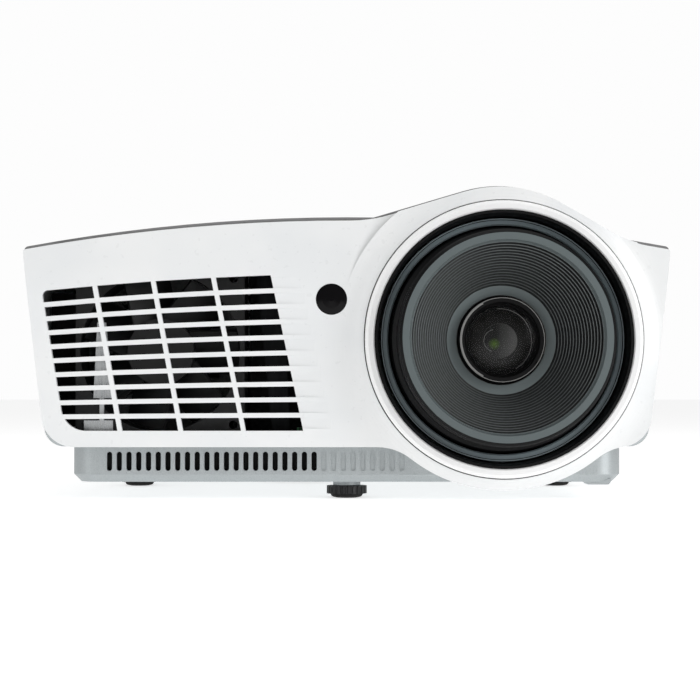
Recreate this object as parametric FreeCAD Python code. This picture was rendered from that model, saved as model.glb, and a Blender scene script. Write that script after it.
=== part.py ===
"""Portable home projector with a large wide-angle lens, built as an assembly of separate pieces.

Frame: millimetres, +Z up, origin on the table under the middle of the object. The lens looks along -Y,
and +X is to the right of a person who stands in front of it and faces it.
"""

import FreeCAD
import Part

import math
import os

V = FreeCAD.Vector
X_AXIS, Y_AXIS, Z_AXIS = V(1, 0, 0), V(0, 1, 0), V(0, 0, 1)

# ---------------------------------------------------------------- driving dimensions, in mm
# case
case_width = 290.0  # widest, at the shoulders
overall_depth = 244.0  # rim of the focus ring to the rear wall
lens_protrusion = 24.0  # rim of the focus ring ahead of the bezel's face
shoulder_height = 113.6  # table to the two top corners
crown = 13.4  # rise of the arched top from a corner to the middle
ground_clearance = 8.0  # table to the underside of the pan
pan_height = 16.1  # underside of the pan to the lower edge of the bezel
side_lean = 6.7  # degrees that the side walls lean in towards the bottom
wall = 2.5  # moulded shells
seam = 0.3  # gap between two mouldings
case_corner = 9.0  # lower side corners of the case
shoulder_round = 2.0
front_round = 1.8  # rounding of the case's front edge, behind the bezel
rear_round = 7.0  # rounding all round the rear face
parting_height = 60.0  # table to the seam between the top cover and the bottom case

# bezel
bezel_inset = 1.2  # bezel inside the case's outline, at its sides
top_step = 2.2  # bezel's top edge below the top cover
bezel_depth = 9.0
bezel_corner = 14.6
rim_wall = 2.2
lean_start = 15.0  # below a shoulder, where the face starts to lean back
lean_back = 9.0  # degrees
toe_round_top = 60.0  # hollow between the hump and the arched top
toe_round_low = 24.0  # hollow between the boss and the bezel's lower edge

# lens boss, which stands above and below the case
boss_radius = 66.8
boss_clearance = 4.9  # table to the underside of the boss
lens_from_side = 75.7  # lens axis to the widest point of the case
hump_radius = 54.7
hump_rise = 67.7  # lens axis to the crest
hump_shift = 1.6  # hump's middle to the left of the lens axis
hump_left_slope = 16.5  # degrees
hump_right_slope = 30.0
hump_step = 1.4  # top cover's hump outside the bezel's
hump_length = 96.0  # bezel's face to where the hump has sunk into the top
flare_height = 3.6  # bezel rises this much towards the trim ring
flare_reach = 12.0

# lens
trim_radius = 61.3
trim_inner = 57.1
trim_stand = 2.4  # ahead of the flare
trim_seat = 1.6  # depth of the trim ring's seat
trim_gap = 0.5  # open line round the trim ring
shroud_wall = 1.4
shroud_mouth = 55.8  # inner radius at the front
zoom_radius = 54.2
zoom_inner = 50.9
zoom_front = 3.7  # behind the bezel's face
zoom_length = 25.0
focus_radius = 45.5  # outside of the front rim
focus_grip_radius = 47.3
focus_base_radius = 49.8
focus_base_length = 6.0
funnel_mouth = 42.3
funnel_throat = 24.2
funnel_floor = 10.2  # behind the bezel's face
funnel_steps = 17
funnel_wall = 1.8
cell_radius = 19.4
cell_stand = 5.5  # ahead of the funnel's floor
cell_guide = 22.9
glass_radius = 17.3
zoom_glass_radius = 8.8
barrel_radius = 26.0
barrel_bore = 23.0
barrel_end = 80.0  # behind the bezel's face
running_gap = 0.1  # radial, between rings that turn or slide on each other
helicoid_travel = 1.2  # front cell, each way
zoom_travel = 3.0  # zoom cell, each way

# feet
foot_from_front = 35.0
rear_foot_from_front = 142.0
foot_from_pan_side = 15.5
foot_wheel_radius = 9.25
foot_wheel_bottom, foot_wheel_top = 1.9, 5.5
foot_pad_radius = 7.4
stud_radius = 3.0
foot_travel = 10.0
stud_grip = 5.0  # stud left in its insert when the foot is fully out
insert_radius = 4.8
foot_boss_radius = 7.5
foot_boss_height = 12.0
collar_radius = 6.3

# front vents and windows
bar = 2.1
vent_rows = 10
vent_uprights = (0.232, 0.487, 0.75)  # share of the grid's width
vent_right_from_lens = 103.0  # lens axis to the upper right corner of the grid
vent_slant = 14.5  # the grid's right edge runs this far to the right on its way down
vent_margin = 8.8  # grid to the bezel's side, at the top
vent_top_drop = 19.2  # grid's upper left corner below the shoulder
vent_top_rise = 7.0
vent_bottom = 7.2  # above the bezel's lower edge
vent_corner = 11.0
vent_high_corner = 2.4
vent_groove_length = 13.0
ir_radius = 6.85
ir_flange = 1.4
ir_from_lens = 76.0
ir_above_lens = 17.8
pan_slot_width = 2.4
pan_slot_height = 8.6
pan_slot_pitch = 4.38
pan_slots_open, pan_slots_blind = 22, 9
pan_slot_margin = 17.7  # first slot's middle to the pan's side
pan_from_side = 20.7  # pan inside the case's widest point
pan_setback = 14.0  # pan's front behind the bezel's face
pan_rear_setback = 8.0
pan_corner = 12.0
pan_chamfer = 3.4
lug_from_side, lug_from_front = 5.0, 4.0
lug_width, lug_depth, lug_height = 11.4, 12.0, 1.3
louvre_pitch = 9.4
louvre_lip = 0.8

# fans, lamp and light path
fan_size, fan_depth = 76.0, 25.0
fan_from_side = 23.0
fan_from_front = 14.0
blower_size, blower_height = 52.0, 22.0
blower_past_mount = 50.0  # left ceiling mount holes to the middle of the blower
lamp_width, lamp_depth, lamp_height = 66.0, 66.0, 76.0
lamp_from_side = 25.0
light_behind_lens = 28.0  # light path behind the end of the lens barrel
light_below_lens = 4.0
wheel_radius = 20.0
wheel_from_lamp = 15.0
wheel_drop = 15.0  # wheel's axis below the light path
tunnel_size = 8.0
engine_half = 33.0
engine_height = 63.0
engine_depth = 70.0
engine_wall = 3.0
door_margin = 3.0  # lamp door beyond the lamp module, each side
door_sink = 1.4  # sink for the head of the door's screw

# boards and sockets
board = 1.6
board_height = 28.0  # table to the underside of the boards
rear_opening_low, rear_opening_high = 34.0, 67.0
rear_opening_side = 28.0  # opening's ends to the case's widest point
panel_thickness = 2.0
panel_overlap = 2.4
socket_lift = 5.5  # sockets above their board

# keypad
button_radius = 4.8
enter_radius = 6.4
button_gap = 0.4
button_travel = 0.8
button_stand = 1.3
button_flange = 1.2
button_slack = 0.8  # flange below the cover, which is arched
pad_from_rear = 46.0
pad_from_middle = 8.0  # enter button's axis to the left of the middle
pad_ring = 15.5  # arrows about the enter button
keypad_width, keypad_depth = 104.0, 50.0
keypad_drop = 8.0  # board's top below the outside of the cover

# mounts and screws
mount_x, mount_y = 150.0, 100.0
mount_from_rear = 52.0  # rear pair of ceiling-mount holes to the rear face
mount_hole_radius = 2.0
mount_boss_radius = 5.0
screw_radius = 1.5
screw_head_radius = 2.9
screw_head_height = 2.0

# ---------------------------------------------------------------- worked out from them
half = case_width / 2
y_tip = -overall_depth / 2
y_face = y_tip + lens_protrusion
y_rear = overall_depth / 2
y_inner = y_rear - wall
y_case = y_face + bezel_depth + seam
y_pan = y_face + pan_setback
y_pan_rear = y_rear - pan_rear_setback
skirt = ground_clearance + pan_height
lens_x = half - lens_from_side
lens_z = boss_clearance + boss_radius
hump_top = lens_z + hump_rise
tan_lean = math.tan(math.radians(side_lean))
top_z = shoulder_height + crown
crown_radius = (half**2 + crown**2) / (2 * crown)
pan_half = half - pan_from_side
pan_floor = ground_clearance + wall
y_barrel_end = y_face + barrel_end
light_y = y_barrel_end + light_behind_lens
light_z = lens_z - light_below_lens
fan_x = -half + fan_from_side + fan_size / 2
fan_y = y_face + fan_from_front
fan_z = lens_z - 5.0
lamp_x = -half + lamp_from_side + lamp_width / 2
lamp_right = lamp_x + lamp_width / 2
wheel_x = lamp_right + wheel_from_lamp
wheel_z = light_z - wheel_drop
engine_left = lens_x - engine_half
engine_back = y_barrel_end + engine_depth
engine_low = lens_z - engine_half
stud_root = foot_wheel_top - 1.0
stud_length = ground_clearance + stud_grip + foot_travel - stud_root
pad_x, pad_y = -pad_from_middle, y_rear - pad_from_rear
board_top = board_height + board
opening_half = half - rear_opening_side
boards_front = engine_back + 5.0
boards_back = y_inner - panel_thickness - seam
blower_x = -mount_x / 2 + blower_past_mount
blower_y = boards_back - 10.0 - blower_size / 2


def top_at(x):
    """Height of the case's arched top at x."""
    return top_z - crown_radius + math.sqrt(crown_radius**2 - x**2)


def side_at(z):
    """Half width of the case's outside at height z."""
    return half - (shoulder_height - z) * tan_lean


# ---------------------------------------------------------------- shape helpers
def box(x0, x1, y0, y1, z0, z1):
    return Part.makeBox(x1 - x0, y1 - y0, z1 - z0, V(x0, y0, z0))


def block_at(centre, size):
    """A box by its middle and its three sizes."""
    corner = [c - s / 2 for c, s in zip(centre, size)]
    return Part.makeBox(*size, V(*corner))


def rod(axis, centre, radius, length):
    return Part.makeCylinder(radius, length, V(*centre), axis)


def tube(axis, centre, outer, inner, length):
    return rod(axis, centre, outer, length).cut(rod(axis, centre, inner, length))


def fused(shapes):
    first, *rest = shapes
    return first.fuse(rest).removeSplitter() if rest else first


def polygon_prism(points, push):
    """A prism on a flat polygon, pushed along the vector push."""
    corners = [V(*p) for p in points]
    return Part.Face(Part.makePolygon([*corners, corners[0]])).extrude(push)


def turned(profile, centre, axis=Y_AXIS):
    """A solid of revolution. The profile's points are (radius, place along the axis)."""
    points = [V(r, a, 0) if axis == Y_AXIS else V(r, 0, a) for r, a in profile]
    solid = Part.Face(Part.makePolygon([*points, points[0]])).revolve(V(0, 0, 0), axis, 360)
    if solid.Volume < 0:
        solid.reverse()
    solid.translate(V(*centre))
    return solid


def edges_along(shape, axis, length):
    """The straight edges that run the whole length along an axis."""
    lines = [e for e in shape.Edges if isinstance(e.Curve, Part.Line) and abs(e.Length - length) < 1e-4]
    return [e for e in lines if abs(abs(e.Curve.Direction.dot(axis)) - 1) < 1e-6]


def edges_near(shape, wanted):
    """The shape's edges at the places of the wanted ones, which another shape had."""
    places = [e.CenterOfMass for e in wanted]
    return [e for e in shape.Edges if any(e.CenterOfMass.distanceToPoint(p) < 1e-3 for p in places)]


def rounded(shape, radius, axis, length):
    return shape.makeFillet(radius, edges_along(shape, axis, length))


def stadium(x, z, width, height, y, depth):
    """An upright slot with round ends, cut along Y."""
    r = width / 2
    run = height / 2 - r
    middle = box(x - r, x + r, y, y + depth, z - run, z + run)
    ends = [rod(Y_AXIS, (x, y, z + s * run), r, depth) for s in (-1, 1)]
    return fused([middle, *ends])


def screw(x, y, z, length, up=True, radius=screw_radius, head=screw_head_radius):
    """A screw whose head starts at height z and whose shank goes up or down from it."""
    way = Z_AXIS if up else -Z_AXIS
    body = rod(way, (x, y, z), head, screw_head_height).fuse(rod(way, (x, y, z), radius, length))
    cross = [block_at((x, y, z), size) for size in ((0.7, head * 1.2, 2.0), (head * 1.2, 0.7, 2.0))]
    return body.cut(cross).removeSplitter()


# ---------------------------------------------------------------- case outline
def section_prism(inset, y0, y1, corner, bottom=None, drop=None):
    """The case's cross-section, inset all round, pushed from y0 to y1. The top comes down by drop."""
    bottom = skirt + inset if bottom is None else bottom
    drop = inset if drop is None else drop
    slant = inset / math.cos(math.radians(side_lean))
    low_x = side_at(bottom) - slant
    shoulder_x = half - slant
    shoulder_z = top_at(shoulder_x) - drop
    bl, br = V(-low_x, y0, bottom), V(low_x, y0, bottom)
    tl, tr = V(-shoulder_x, y0, shoulder_z), V(shoulder_x, y0, shoulder_z)
    top = Part.Arc(tr, V(0, y0, top_z - drop), tl)
    edges = [Part.LineSegment(bl, br), Part.LineSegment(br, tr), top, Part.LineSegment(tl, bl)]
    prism = Part.Face(Part.Wire([e.toShape() for e in edges])).extrude(V(0, y1 - y0, 0))
    upright = edges_along(prism, Y_AXIS, y1 - y0)
    low = [e for e in upright if e.CenterOfMass.z < bottom + 1]
    high = [e for e in upright if e.CenterOfMass.z > bottom + 1]
    prism = prism.makeFillet(corner, low)
    return prism.makeFillet(max(shoulder_round - inset, 0.5), edges_near(prism, high))


def hump_wire(y, top, inset):
    """Outline of the hump over the lens: two slopes with a round crest."""
    cx, cz = lens_x - hump_shift, top - hump_radius
    r = hump_radius - inset
    left, right = math.radians(hump_left_slope), math.radians(hump_right_slope)
    crest_l = V(cx - r * math.sin(left), y, cz + r * math.cos(left))
    crest_r = V(cx + r * math.sin(right), y, cz + r * math.cos(right))
    toe_l = crest_l - V(60, 0, 60 * math.tan(left))
    toe_r = crest_r + V(36, 0, -36 * math.tan(right))
    base_l, base_r = V(toe_l.x, y, lens_z), V(toe_r.x, y, lens_z)
    crest = Part.Arc(crest_l, V(cx, y, cz + r), crest_r).toShape()
    corners = [crest_r, toe_r, base_r, base_l, toe_l, crest_l]
    lines = [Part.LineSegment(a, b).toShape() for a, b in zip(corners, corners[1:])]
    return Part.Wire([crest, *lines])


def case_solid(inset):
    """Outside of the case, or its inside when inset: the section, round at the rear, with the hump."""
    y1 = y_rear - inset
    prism = section_prism(inset, y_case, y1, max(case_corner - inset, 2.0))
    rear = [e for e in prism.Edges if e.BoundBox.YMin > y1 - 1e-4]
    body = prism.makeFillet(rear_round - inset, rear)
    if inset < front_round:
        front = [e for e in body.Edges if e.BoundBox.YMax < y_case + 1e-4]
        body = body.makeFillet(front_round - inset, front)
    sunk = top_at(lens_x) - 2.0
    wires = [hump_wire(y_case, hump_top + hump_step, inset), hump_wire(y_face + hump_length, sunk, inset)]
    return body.fuse(Part.makeLoft(wires, True)).removeSplitter()


def pan_solid(inset):
    """Outside of the shallow pan under the case, or its inside when inset."""
    x = pan_half - inset
    y0, y1 = y_pan + inset, y_pan_rear - inset
    z0, z1 = ground_clearance + inset, skirt + wall
    solid = box(-x, x, y0, y1, z0, z1)
    solid = rounded(solid, pan_corner - inset, Z_AXIS, z1 - z0)
    low = [e for e in solid.Edges if e.BoundBox.ZMax < z0 + 1e-4]
    return solid.makeChamfer(max(pan_chamfer - inset, 1.0), low)


# ---------------------------------------------------------------- front bezel
def hollow_edges(prism, length):
    """Edges along Y where two flanks of a prism meet in a hollow corner."""
    found = []
    for edge in edges_along(prism, Y_AXIS, length):
        at = edge.CenterOfMass
        first, second = prism.ancestorsOfType(edge, Part.Face)
        normals = [f.normalAt(*f.Surface.parameter(at)) for f in (first, second)]
        if normals[0].getAngle(normals[1]) < math.radians(4):
            continue
        along = Y_AXIS.cross(normals[0]) * 0.2
        if Part.Vertex(at + along).distToShape(first)[0] > 0.05:
            along = -along
        if along.dot(normals[1]) > 0:
            found.append(edge)
    return found


def bezel_prism(inset, y0, y1):
    """The bezel's outline with its hump and its round lens boss, pushed from y0 to y1."""
    edge = bezel_inset + inset
    body = section_prism(edge, y0, y1, bezel_corner - inset, skirt + inset, top_step + inset)
    hump = Part.Face(hump_wire(y0, hump_top, inset)).extrude(V(0, y1 - y0, 0))
    boss = rod(Y_AXIS, (lens_x, y0, lens_z), boss_radius - inset, y1 - y0)
    lower_half = boss.common(box(0, case_width, y0, y1, 0, lens_z))
    return fused([body, hump, lower_half])


def bezel_outline(y0, y1):
    """The bezel's prism with its hollow corners rounded."""
    prism = bezel_prism(0, y0, y1)
    toes = hollow_edges(prism, y1 - y0)
    high = [e for e in toes if e.CenterOfMass.z > lens_z]
    low = [e for e in toes if e.CenterOfMass.z < lens_z]
    prism = prism.makeFillet(toe_round_top, high) if high else prism
    return prism.makeFillet(toe_round_low, edges_near(prism, low)) if low else prism


def lean_block(shift):
    """Everything behind the bezel's face, which leans back near the top."""
    y = y_face + shift
    turn_z = shoulder_height - lean_start
    reach = 80.0
    x0, width = -half - 20, case_width + 40
    leaned = y + reach * math.tan(math.radians(lean_back))
    side = [(y, -20), (y, turn_z), (leaned, turn_z + reach), (y + 60, turn_z + reach), (y + 60, -20)]
    block = polygon_prism([(x0, py, pz) for py, pz in side], V(width, 0, 0))
    ridge = [e for e in edges_along(block, X_AXIS, width) if abs(e.CenterOfMass.z - turn_z) < 1e-4]
    return block.makeFillet(60.0, ridge)


def lens_flare():
    """The bezel's face rises in a hollow curve to the trim ring."""
    inner, outer = trim_inner + 2.0, trim_radius + flare_reach
    steps = 8
    rise = [(t / steps, (t / steps) ** 2.2) for t in range(steps + 1)]
    curve = [(outer - (outer - trim_radius) * t, y_face - flare_height * h) for t, h in rise]
    rim, back = y_face - flare_height, y_face + 4.0
    return turned([(outer, back), *curve, (inner, rim), (inner, back)], (lens_x, 0, lens_z))


def vent_point(u, v):
    """A point of the vent grid as (x, z): u runs across it and v down it, each from 0 to 1."""
    left = -(half - bezel_inset - vent_margin)
    right = lens_x - vent_right_from_lens
    top = shoulder_height - bezel_inset - vent_top_drop
    bottom = skirt + vent_bottom
    low_left = left + vent_margin + 1.6
    upper = left + (right - left) * u, top + vent_top_rise * u + 0.9 * math.sin(math.pi * u)
    lower_x = low_left + (right + vent_slant - low_left) * u
    return upper[0] + (lower_x - upper[0]) * v, upper[1] + (bottom - upper[1]) * v


def vent_opening(y0, y1):
    """The grid's outline, with its two rounded left corners, pushed from y0 to y1."""
    top = [vent_point(i / 4, 0) for i in range(5)]
    points = [*top, vent_point(1, 1), vent_point(0, 1)]
    prism = polygon_prism([(x, y0, z) for x, z in points], V(0, y1 - y0, 0))
    for v, radius in ((1, vent_corner), (0, vent_high_corner)):
        x, z = vent_point(0, v)
        upright = edges_along(prism, Y_AXIS, y1 - y0)
        corner = [e for e in upright if math.hypot(e.CenterOfMass.x - x, e.CenterOfMass.z - z) < 1e-3]
        prism = prism.makeFillet(radius, corner)
    return prism


def vent_bars(y0, y1):
    """The bars that cross the vent grid."""
    push = V(0, y1 - y0, 0)
    bars = []
    for row in range(1, vent_rows):
        ends = [vent_point(u, row / vent_rows) for u in (-0.02, 0.25, 0.5, 0.75, 1.02)]
        line = [(x, y0, z + bar / 2) for x, z in ends]
        line += [(x, y0, z - bar / 2) for x, z in reversed(ends)]
        bars.append(polygon_prism(line, push))
    for u in vent_uprights:
        (ax, az), (bx, bz) = vent_point(u, -0.03), vent_point(u, 1.02)
        line = [(ax - bar / 2, y0, az), (ax + bar / 2, y0, az), (bx + bar / 2, y0, bz), (bx - bar / 2, y0, bz)]
        bars.append(polygon_prism(line, push))
    return bars


def vent_grooves():
    """Shallow grooves that carry each row of slots on to the right and fade out."""
    depth, start = 1.1, 1.5
    grooves = []
    for row in range(vent_rows):
        x, z = vent_point(1, (row + 0.5) / vent_rows)
        height = (vent_point(1, 0)[1] - vent_point(1, 1)[1]) / vent_rows - bar
        side = [(x - start, y_face - 1), (x + vent_groove_length, y_face - 1)]
        side += [(x + vent_groove_length, y_face), (x - start, y_face + depth)]
        flat = [(px, py, z - height / 2) for px, py in side]
        grooves.append(polygon_prism(flat, V(0, 0, height)))
    return grooves


def ir_place(y):
    return lens_x - ir_from_lens, y, lens_z + ir_above_lens


def front_bezel():
    front, back = y_face - flare_height - 1, y_face + bezel_depth
    solid = bezel_outline(front, back).common(lean_block(0).fuse(lens_flare()))
    boss_back = rod(Y_AXIS, (lens_x, back - 1, lens_z), boss_radius, y_pan - seam - back + 1)
    below_case = box(-half, half, back - 1, y_pan, 0, skirt - seam)
    solid = solid.fuse(boss_back.common(below_case))
    axis = (lens_x, front - 5, lens_z)
    inside = bezel_prism(rim_wall, y_face - 8, y_pan + 5).common(lean_block(wall))
    inside = inside.cut(rod(Y_AXIS, axis, trim_radius + 2, 60))
    hole = rod(Y_AXIS, axis, trim_inner + shroud_wall, 60)
    seat = rod(Y_AXIS, axis, trim_radius + trim_gap, y_face - flare_height + trim_seat - axis[1])
    relief = rod(Y_AXIS, (lens_x, y_face + wall, lens_z), trim_radius + 2, 40)
    vent = vent_opening(y_face - 1, back + 1).cut(vent_bars(y_face - 2, y_face + wall))
    ir_hole = rod(Y_AXIS, ir_place(y_face - 1), ir_radius + running_gap, 20)
    ir_pocket = rod(Y_AXIS, ir_place(y_face + wall), ir_radius + ir_flange + running_gap, 20)
    cuts = [inside, hole, seat, relief, vent, ir_hole, ir_pocket, *vent_grooves()]
    return solid.cut(cuts).removeSplitter()


# ---------------------------------------------------------------- case shells
def case_shell():
    """Walls of the whole case and its pan, before they are parted."""
    outside = case_solid(0).fuse(pan_solid(0))
    inside = case_solid(wall).fuse(pan_solid(wall))
    return outside.cut(inside).removeSplitter()


def door_bounds(gap):
    """The lamp door's edges as x0, x1, y0, y1, drawn in by a gap."""
    x_reach, y_reach = lamp_width / 2 + door_margin - gap, lamp_depth / 2 + door_margin - gap
    return lamp_x - x_reach, lamp_x + x_reach, light_y - y_reach, light_y + y_reach


def under_top(inset0, inset1, bounds):
    """A layer under the arched top between two insets, within x and y bounds."""
    layer = section_prism(inset0, y_case, y_rear, 2.0).cut(section_prism(inset1, y_case, y_rear, 2.0))
    return layer.common(box(*bounds, shoulder_height - 12, top_z + 1))


def door_screw_place():
    x0, x1, y0, y1 = door_bounds(0)
    return (x0 + x1) / 2, y1 - 7.0


def rear_opening(margin):
    """The opening in the rear wall for the sockets."""
    x = opening_half + margin
    low, high = rear_opening_low - margin, rear_opening_high + margin
    return box(-x, x, y_inner - 3, y_rear + 1, low, high)


def side_louvres(sign, y0, y1, rows, low):
    """Slots and lips in a side wall. Gives the cutters and the lips."""
    slots, lips = [], []
    columns = 6
    pitch = (y1 - y0) / columns
    for row in range(rows):
        z = low + row * louvre_pitch
        x = side_at(z)
        for column in range(columns):
            y = y0 + pitch * column
            ends = sorted((sign * (x - 6), sign * (x + 6)))
            slots.append(box(*ends, y + 1, y + pitch - 1, z + 2.6, z + louvre_pitch - 2.6))
        lean = 1.4 * tan_lean
        profile = [(x - wall / 2, z), (x + louvre_lip, z), (x + louvre_lip + lean, z + 1.4), (x - wall / 2, z + 1.4)]
        lips.append(polygon_prism([(sign * px, y0, pz) for px, pz in profile], V(0, y1 - y0, 0)))
    return slots, lips


def button_places():
    """The buttons by name: x, y and radius."""
    ring = pad_ring
    return {
        "enter": (pad_x, pad_y, enter_radius),
        "up": (pad_x, pad_y + ring, button_radius),
        "down": (pad_x, pad_y - ring, button_radius),
        "left": (pad_x - ring, pad_y, button_radius),
        "right": (pad_x + ring, pad_y, button_radius),
        "power": (pad_x - 2.4 * ring, pad_y, button_radius),
        "menu": (pad_x + 2.4 * ring, pad_y + ring * 0.7, button_radius),
        "source": (pad_x + 2.4 * ring, pad_y - ring * 0.7, button_radius),
    }


def indicator_places():
    return [(pad_x - 2.4 * pad_ring + step, pad_y + pad_ring) for step in (-6, 0, 6)]


def keypad_corners():
    x, y = keypad_width / 2 - 5, keypad_depth / 2 - 5
    return [(pad_x + sx * x, pad_y + sy * y) for sx in (-1, 1) for sy in (-1, 1)]


def keypad_top():
    return top_at(pad_x) - keypad_drop


def top_cover(shell):
    above = box(-half - 5, half + 5, y_case - 1, y_rear + 1, parting_height + seam / 2, hump_top + 5)
    cover = shell.common(above)
    depth = top_z + 5 - shoulder_height + 12
    x0, x1, y0, y1 = door_bounds(0)
    cuts = [box(x0, x1, y0, y1, shoulder_height - 12, top_z + 5), rear_opening(0)]
    for x, y, radius in button_places().values():
        cuts.append(rod(-Z_AXIS, (x, y, top_z + 5), radius + button_gap, depth))
    cuts += [rod(-Z_AXIS, (x, y, top_z + 5), 1.2, depth) for x, y in indicator_places()]
    slots, lips = side_louvres(1, light_y - 10, light_y + 50, 2, parting_height + 3)
    ledge = under_top(wall, wall + 1.6, (x0 - 4, x1 + 4, y0 - 4, y1 + 4))
    ledge = ledge.cut(box(x0 + 4, x1 - 4, y0 + 4, y1 - 4, 0, top_z + 5))
    sx, sy = door_screw_place()
    tab = under_top(wall, wall + 1.6, (sx - 8, sx + 8, sy - 7, y1))
    posts = []
    for x, y in keypad_corners():
        posts.append(rod(Z_AXIS, (x, y, keypad_top()), 3.0, top_at(x) - wall - keypad_top() + 1))
    cover = cover.cut([*cuts, *slots]).fuse([ledge, tab, *lips, *posts])
    hole = rod(-Z_AXIS, (sx, sy, top_z + 5), screw_radius + 0.5, 40)
    pilots = [rod(Z_AXIS, (x, y, keypad_top() - 1), 1.1, 6) for x, y in keypad_corners()]
    return cover.cut([hole, *pilots]).removeSplitter()


def lamp_door():
    bounds = door_bounds(seam)
    door = under_top(0, wall - seam, bounds)
    sx, sy = door_screw_place()
    z = top_at(sx)
    sink = rod(-Z_AXIS, (sx, sy, z + 5), screw_head_radius + 0.6, 5 + door_sink)
    hole = rod(-Z_AXIS, (sx, sy, z + 5), screw_radius + 0.2, 20)
    grips = []
    for row in range(5):
        y = bounds[2] + 8 + row * 3.2
        skin = under_top(-1, 0.6, (lamp_x - 14, lamp_x + 14, y, y + 1.4))
        grips.append(skin)
    return door.cut([sink, hole, *grips]).removeSplitter()


def lamp_door_screw():
    sx, sy = door_screw_place()
    return screw(sx, sy, top_at(sx) - door_sink + screw_head_height, 9.0, up=False)


def foot_places():
    rear_y = y_face + rear_foot_from_front
    side = pan_half - foot_from_pan_side
    return {"front": (0.0, y_face + foot_from_front), "left": (-side, rear_y), "right": (side, rear_y)}


def case_screw_places():
    x = pan_half - 27.0
    return [(sx * x, y) for sx in (-1, 1) for y in (y_pan + 27.0, y_pan_rear - 12.0)]


def mount_places():
    rear = y_rear - mount_from_rear
    return [(sx * mount_x / 2, y) for sx in (-1, 1) for y in (rear - mount_y, rear)]


def board_screw_places():
    """Screws of the main board and of the power supply."""
    main, supply = main_board_bounds(), supply_bounds()
    places = []
    for x0, x1, y0, y1 in (main, supply):
        places += [(x, y) for x in (x0 + 5, x1 - 5) for y in (y0 + 5, y1 - 22)]
    return places


def pan_slots():
    """Intake slots in the front of the pan. The last ones are blind."""
    z = ground_clearance + pan_height * 0.58
    slots = []
    for i in range(pan_slots_open + pan_slots_blind):
        x = -pan_half + pan_slot_margin + i * pan_slot_pitch
        depth = wall + 2 if i < pan_slots_open else 1.8
        slots.append(stadium(x, z, pan_slot_width, pan_slot_height, y_pan - 1, depth))
    return slots


def intake_slots():
    """Intake slots under the blower."""
    slots = []
    for row in range(9):
        y = blower_y - 20 + row * 5
        reach = math.sqrt(21**2 - (y - blower_y) ** 2)
        slots.append(box(blower_x - reach, blower_x + reach, y - 1.2, y + 1.2, ground_clearance - 1, pan_floor + 1))
    return slots


def pan_lug():
    """Low lug under the pan's right front corner, with slanted ends."""
    right = pan_half - lug_from_side
    left = right - lug_width
    low, high = ground_clearance - lug_height, ground_clearance + lug_height
    slant = lug_height * 0.8
    outline = [(left, high), (left, low + slant), (left + slant, low), (right - slant, low)]
    outline += [(right, low + slant), (right, high)]
    return polygon_prism([(x, y_pan + lug_from_front, z) for x, z in outline], V(0, lug_depth, 0))


def bottom_case(shell):
    below = box(-half - 5, half + 5, y_case - 1, y_rear + 1, 0, parting_height - seam / 2)
    case = shell.common(below)
    slots, lips = side_louvres(-1, light_y - 66, light_y + 50, 3, parting_height - 3 * louvre_pitch)
    sound, sound_lips = side_louvres(1, light_y - 10, light_y + 50, 2, parting_height - 2 * louvre_pitch)
    posts, holes = [], []
    for x, y in foot_places().values():
        posts.append(rod(Z_AXIS, (x, y, ground_clearance), foot_boss_radius, foot_boss_height))
        posts.append(rod(Z_AXIS, (x, y, foot_wheel_top + seam), collar_radius, wall))
        holes.append(rod(Z_AXIS, (x, y, 0), stud_radius + 0.5, 30))
        holes.append(rod(Z_AXIS, (x, y, ground_clearance), insert_radius, 30))
    for x, y in mount_places():
        posts.append(rod(Z_AXIS, (x, y, ground_clearance), mount_boss_radius, 12))
        holes.append(rod(Z_AXIS, (x, y, 0), mount_hole_radius, ground_clearance + 10))
    for x, y in case_screw_places():
        posts.append(rod(Z_AXIS, (x, y, ground_clearance), 4.5, 16))
        holes.append(rod(Z_AXIS, (x, y, 0), screw_head_radius + 0.3, ground_clearance + 3))
        holes.append(rod(Z_AXIS, (x, y, 0), screw_radius, ground_clearance + 14))
    for x, y in board_screw_places():
        posts.append(rod(Z_AXIS, (x, y, pan_floor - 1), 3.2, board_height - pan_floor + 1))
        holes.append(rod(Z_AXIS, (x, y, board_height - 8), screw_radius, 12))
    posts.append(pan_lug())
    well_end = y_face + zoom_front + zoom_length + 1.5
    lens_well = rod(Y_AXIS, (lens_x, y_case - 1, lens_z), zoom_radius + 2.8, well_end - y_case + 1)
    case = case.cut([*slots, *sound, *pan_slots(), *intake_slots(), rear_opening(0), lens_well])
    return case.fuse([*lips, *sound_lips, *posts]).cut(holes).removeSplitter()


# ---------------------------------------------------------------- rear panel and sockets
def main_board_bounds():
    """x0, x1, y0, y1 of the main board."""
    return blower_x + blower_size / 2 + 10, half - 32.0, boards_front + 6, boards_back


def supply_bounds():
    return -half + 30.0, blower_x - blower_size / 2 - 6, boards_front + 6, boards_back


def socket_places():
    """Sockets on the main board: name, middle along X, width, height."""
    sockets = [("vga", 30.0, 12.0), ("hdmi", 15.0, 6.5), ("usb", 10.0, 11.0)]
    sockets += [("video", 10.0, 12.0), ("audio", 9.0, 12.0), ("audio", 9.0, 12.0)]
    x0, x1 = main_board_bounds()[:2]
    margin = 4.0
    gap = (x1 - x0 - 2 * margin - sum(width for _, width, _ in sockets)) / (len(sockets) - 1)
    places, x = [], x0 + margin
    for name, width, height in sockets:
        places.append((name, x + width / 2, width, height))
        x += width + gap
    return places


def inlet_place():
    x0, x1 = supply_bounds()[:2]
    return (x0 + x1) / 2, board_top + socket_lift + 11.5


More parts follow.
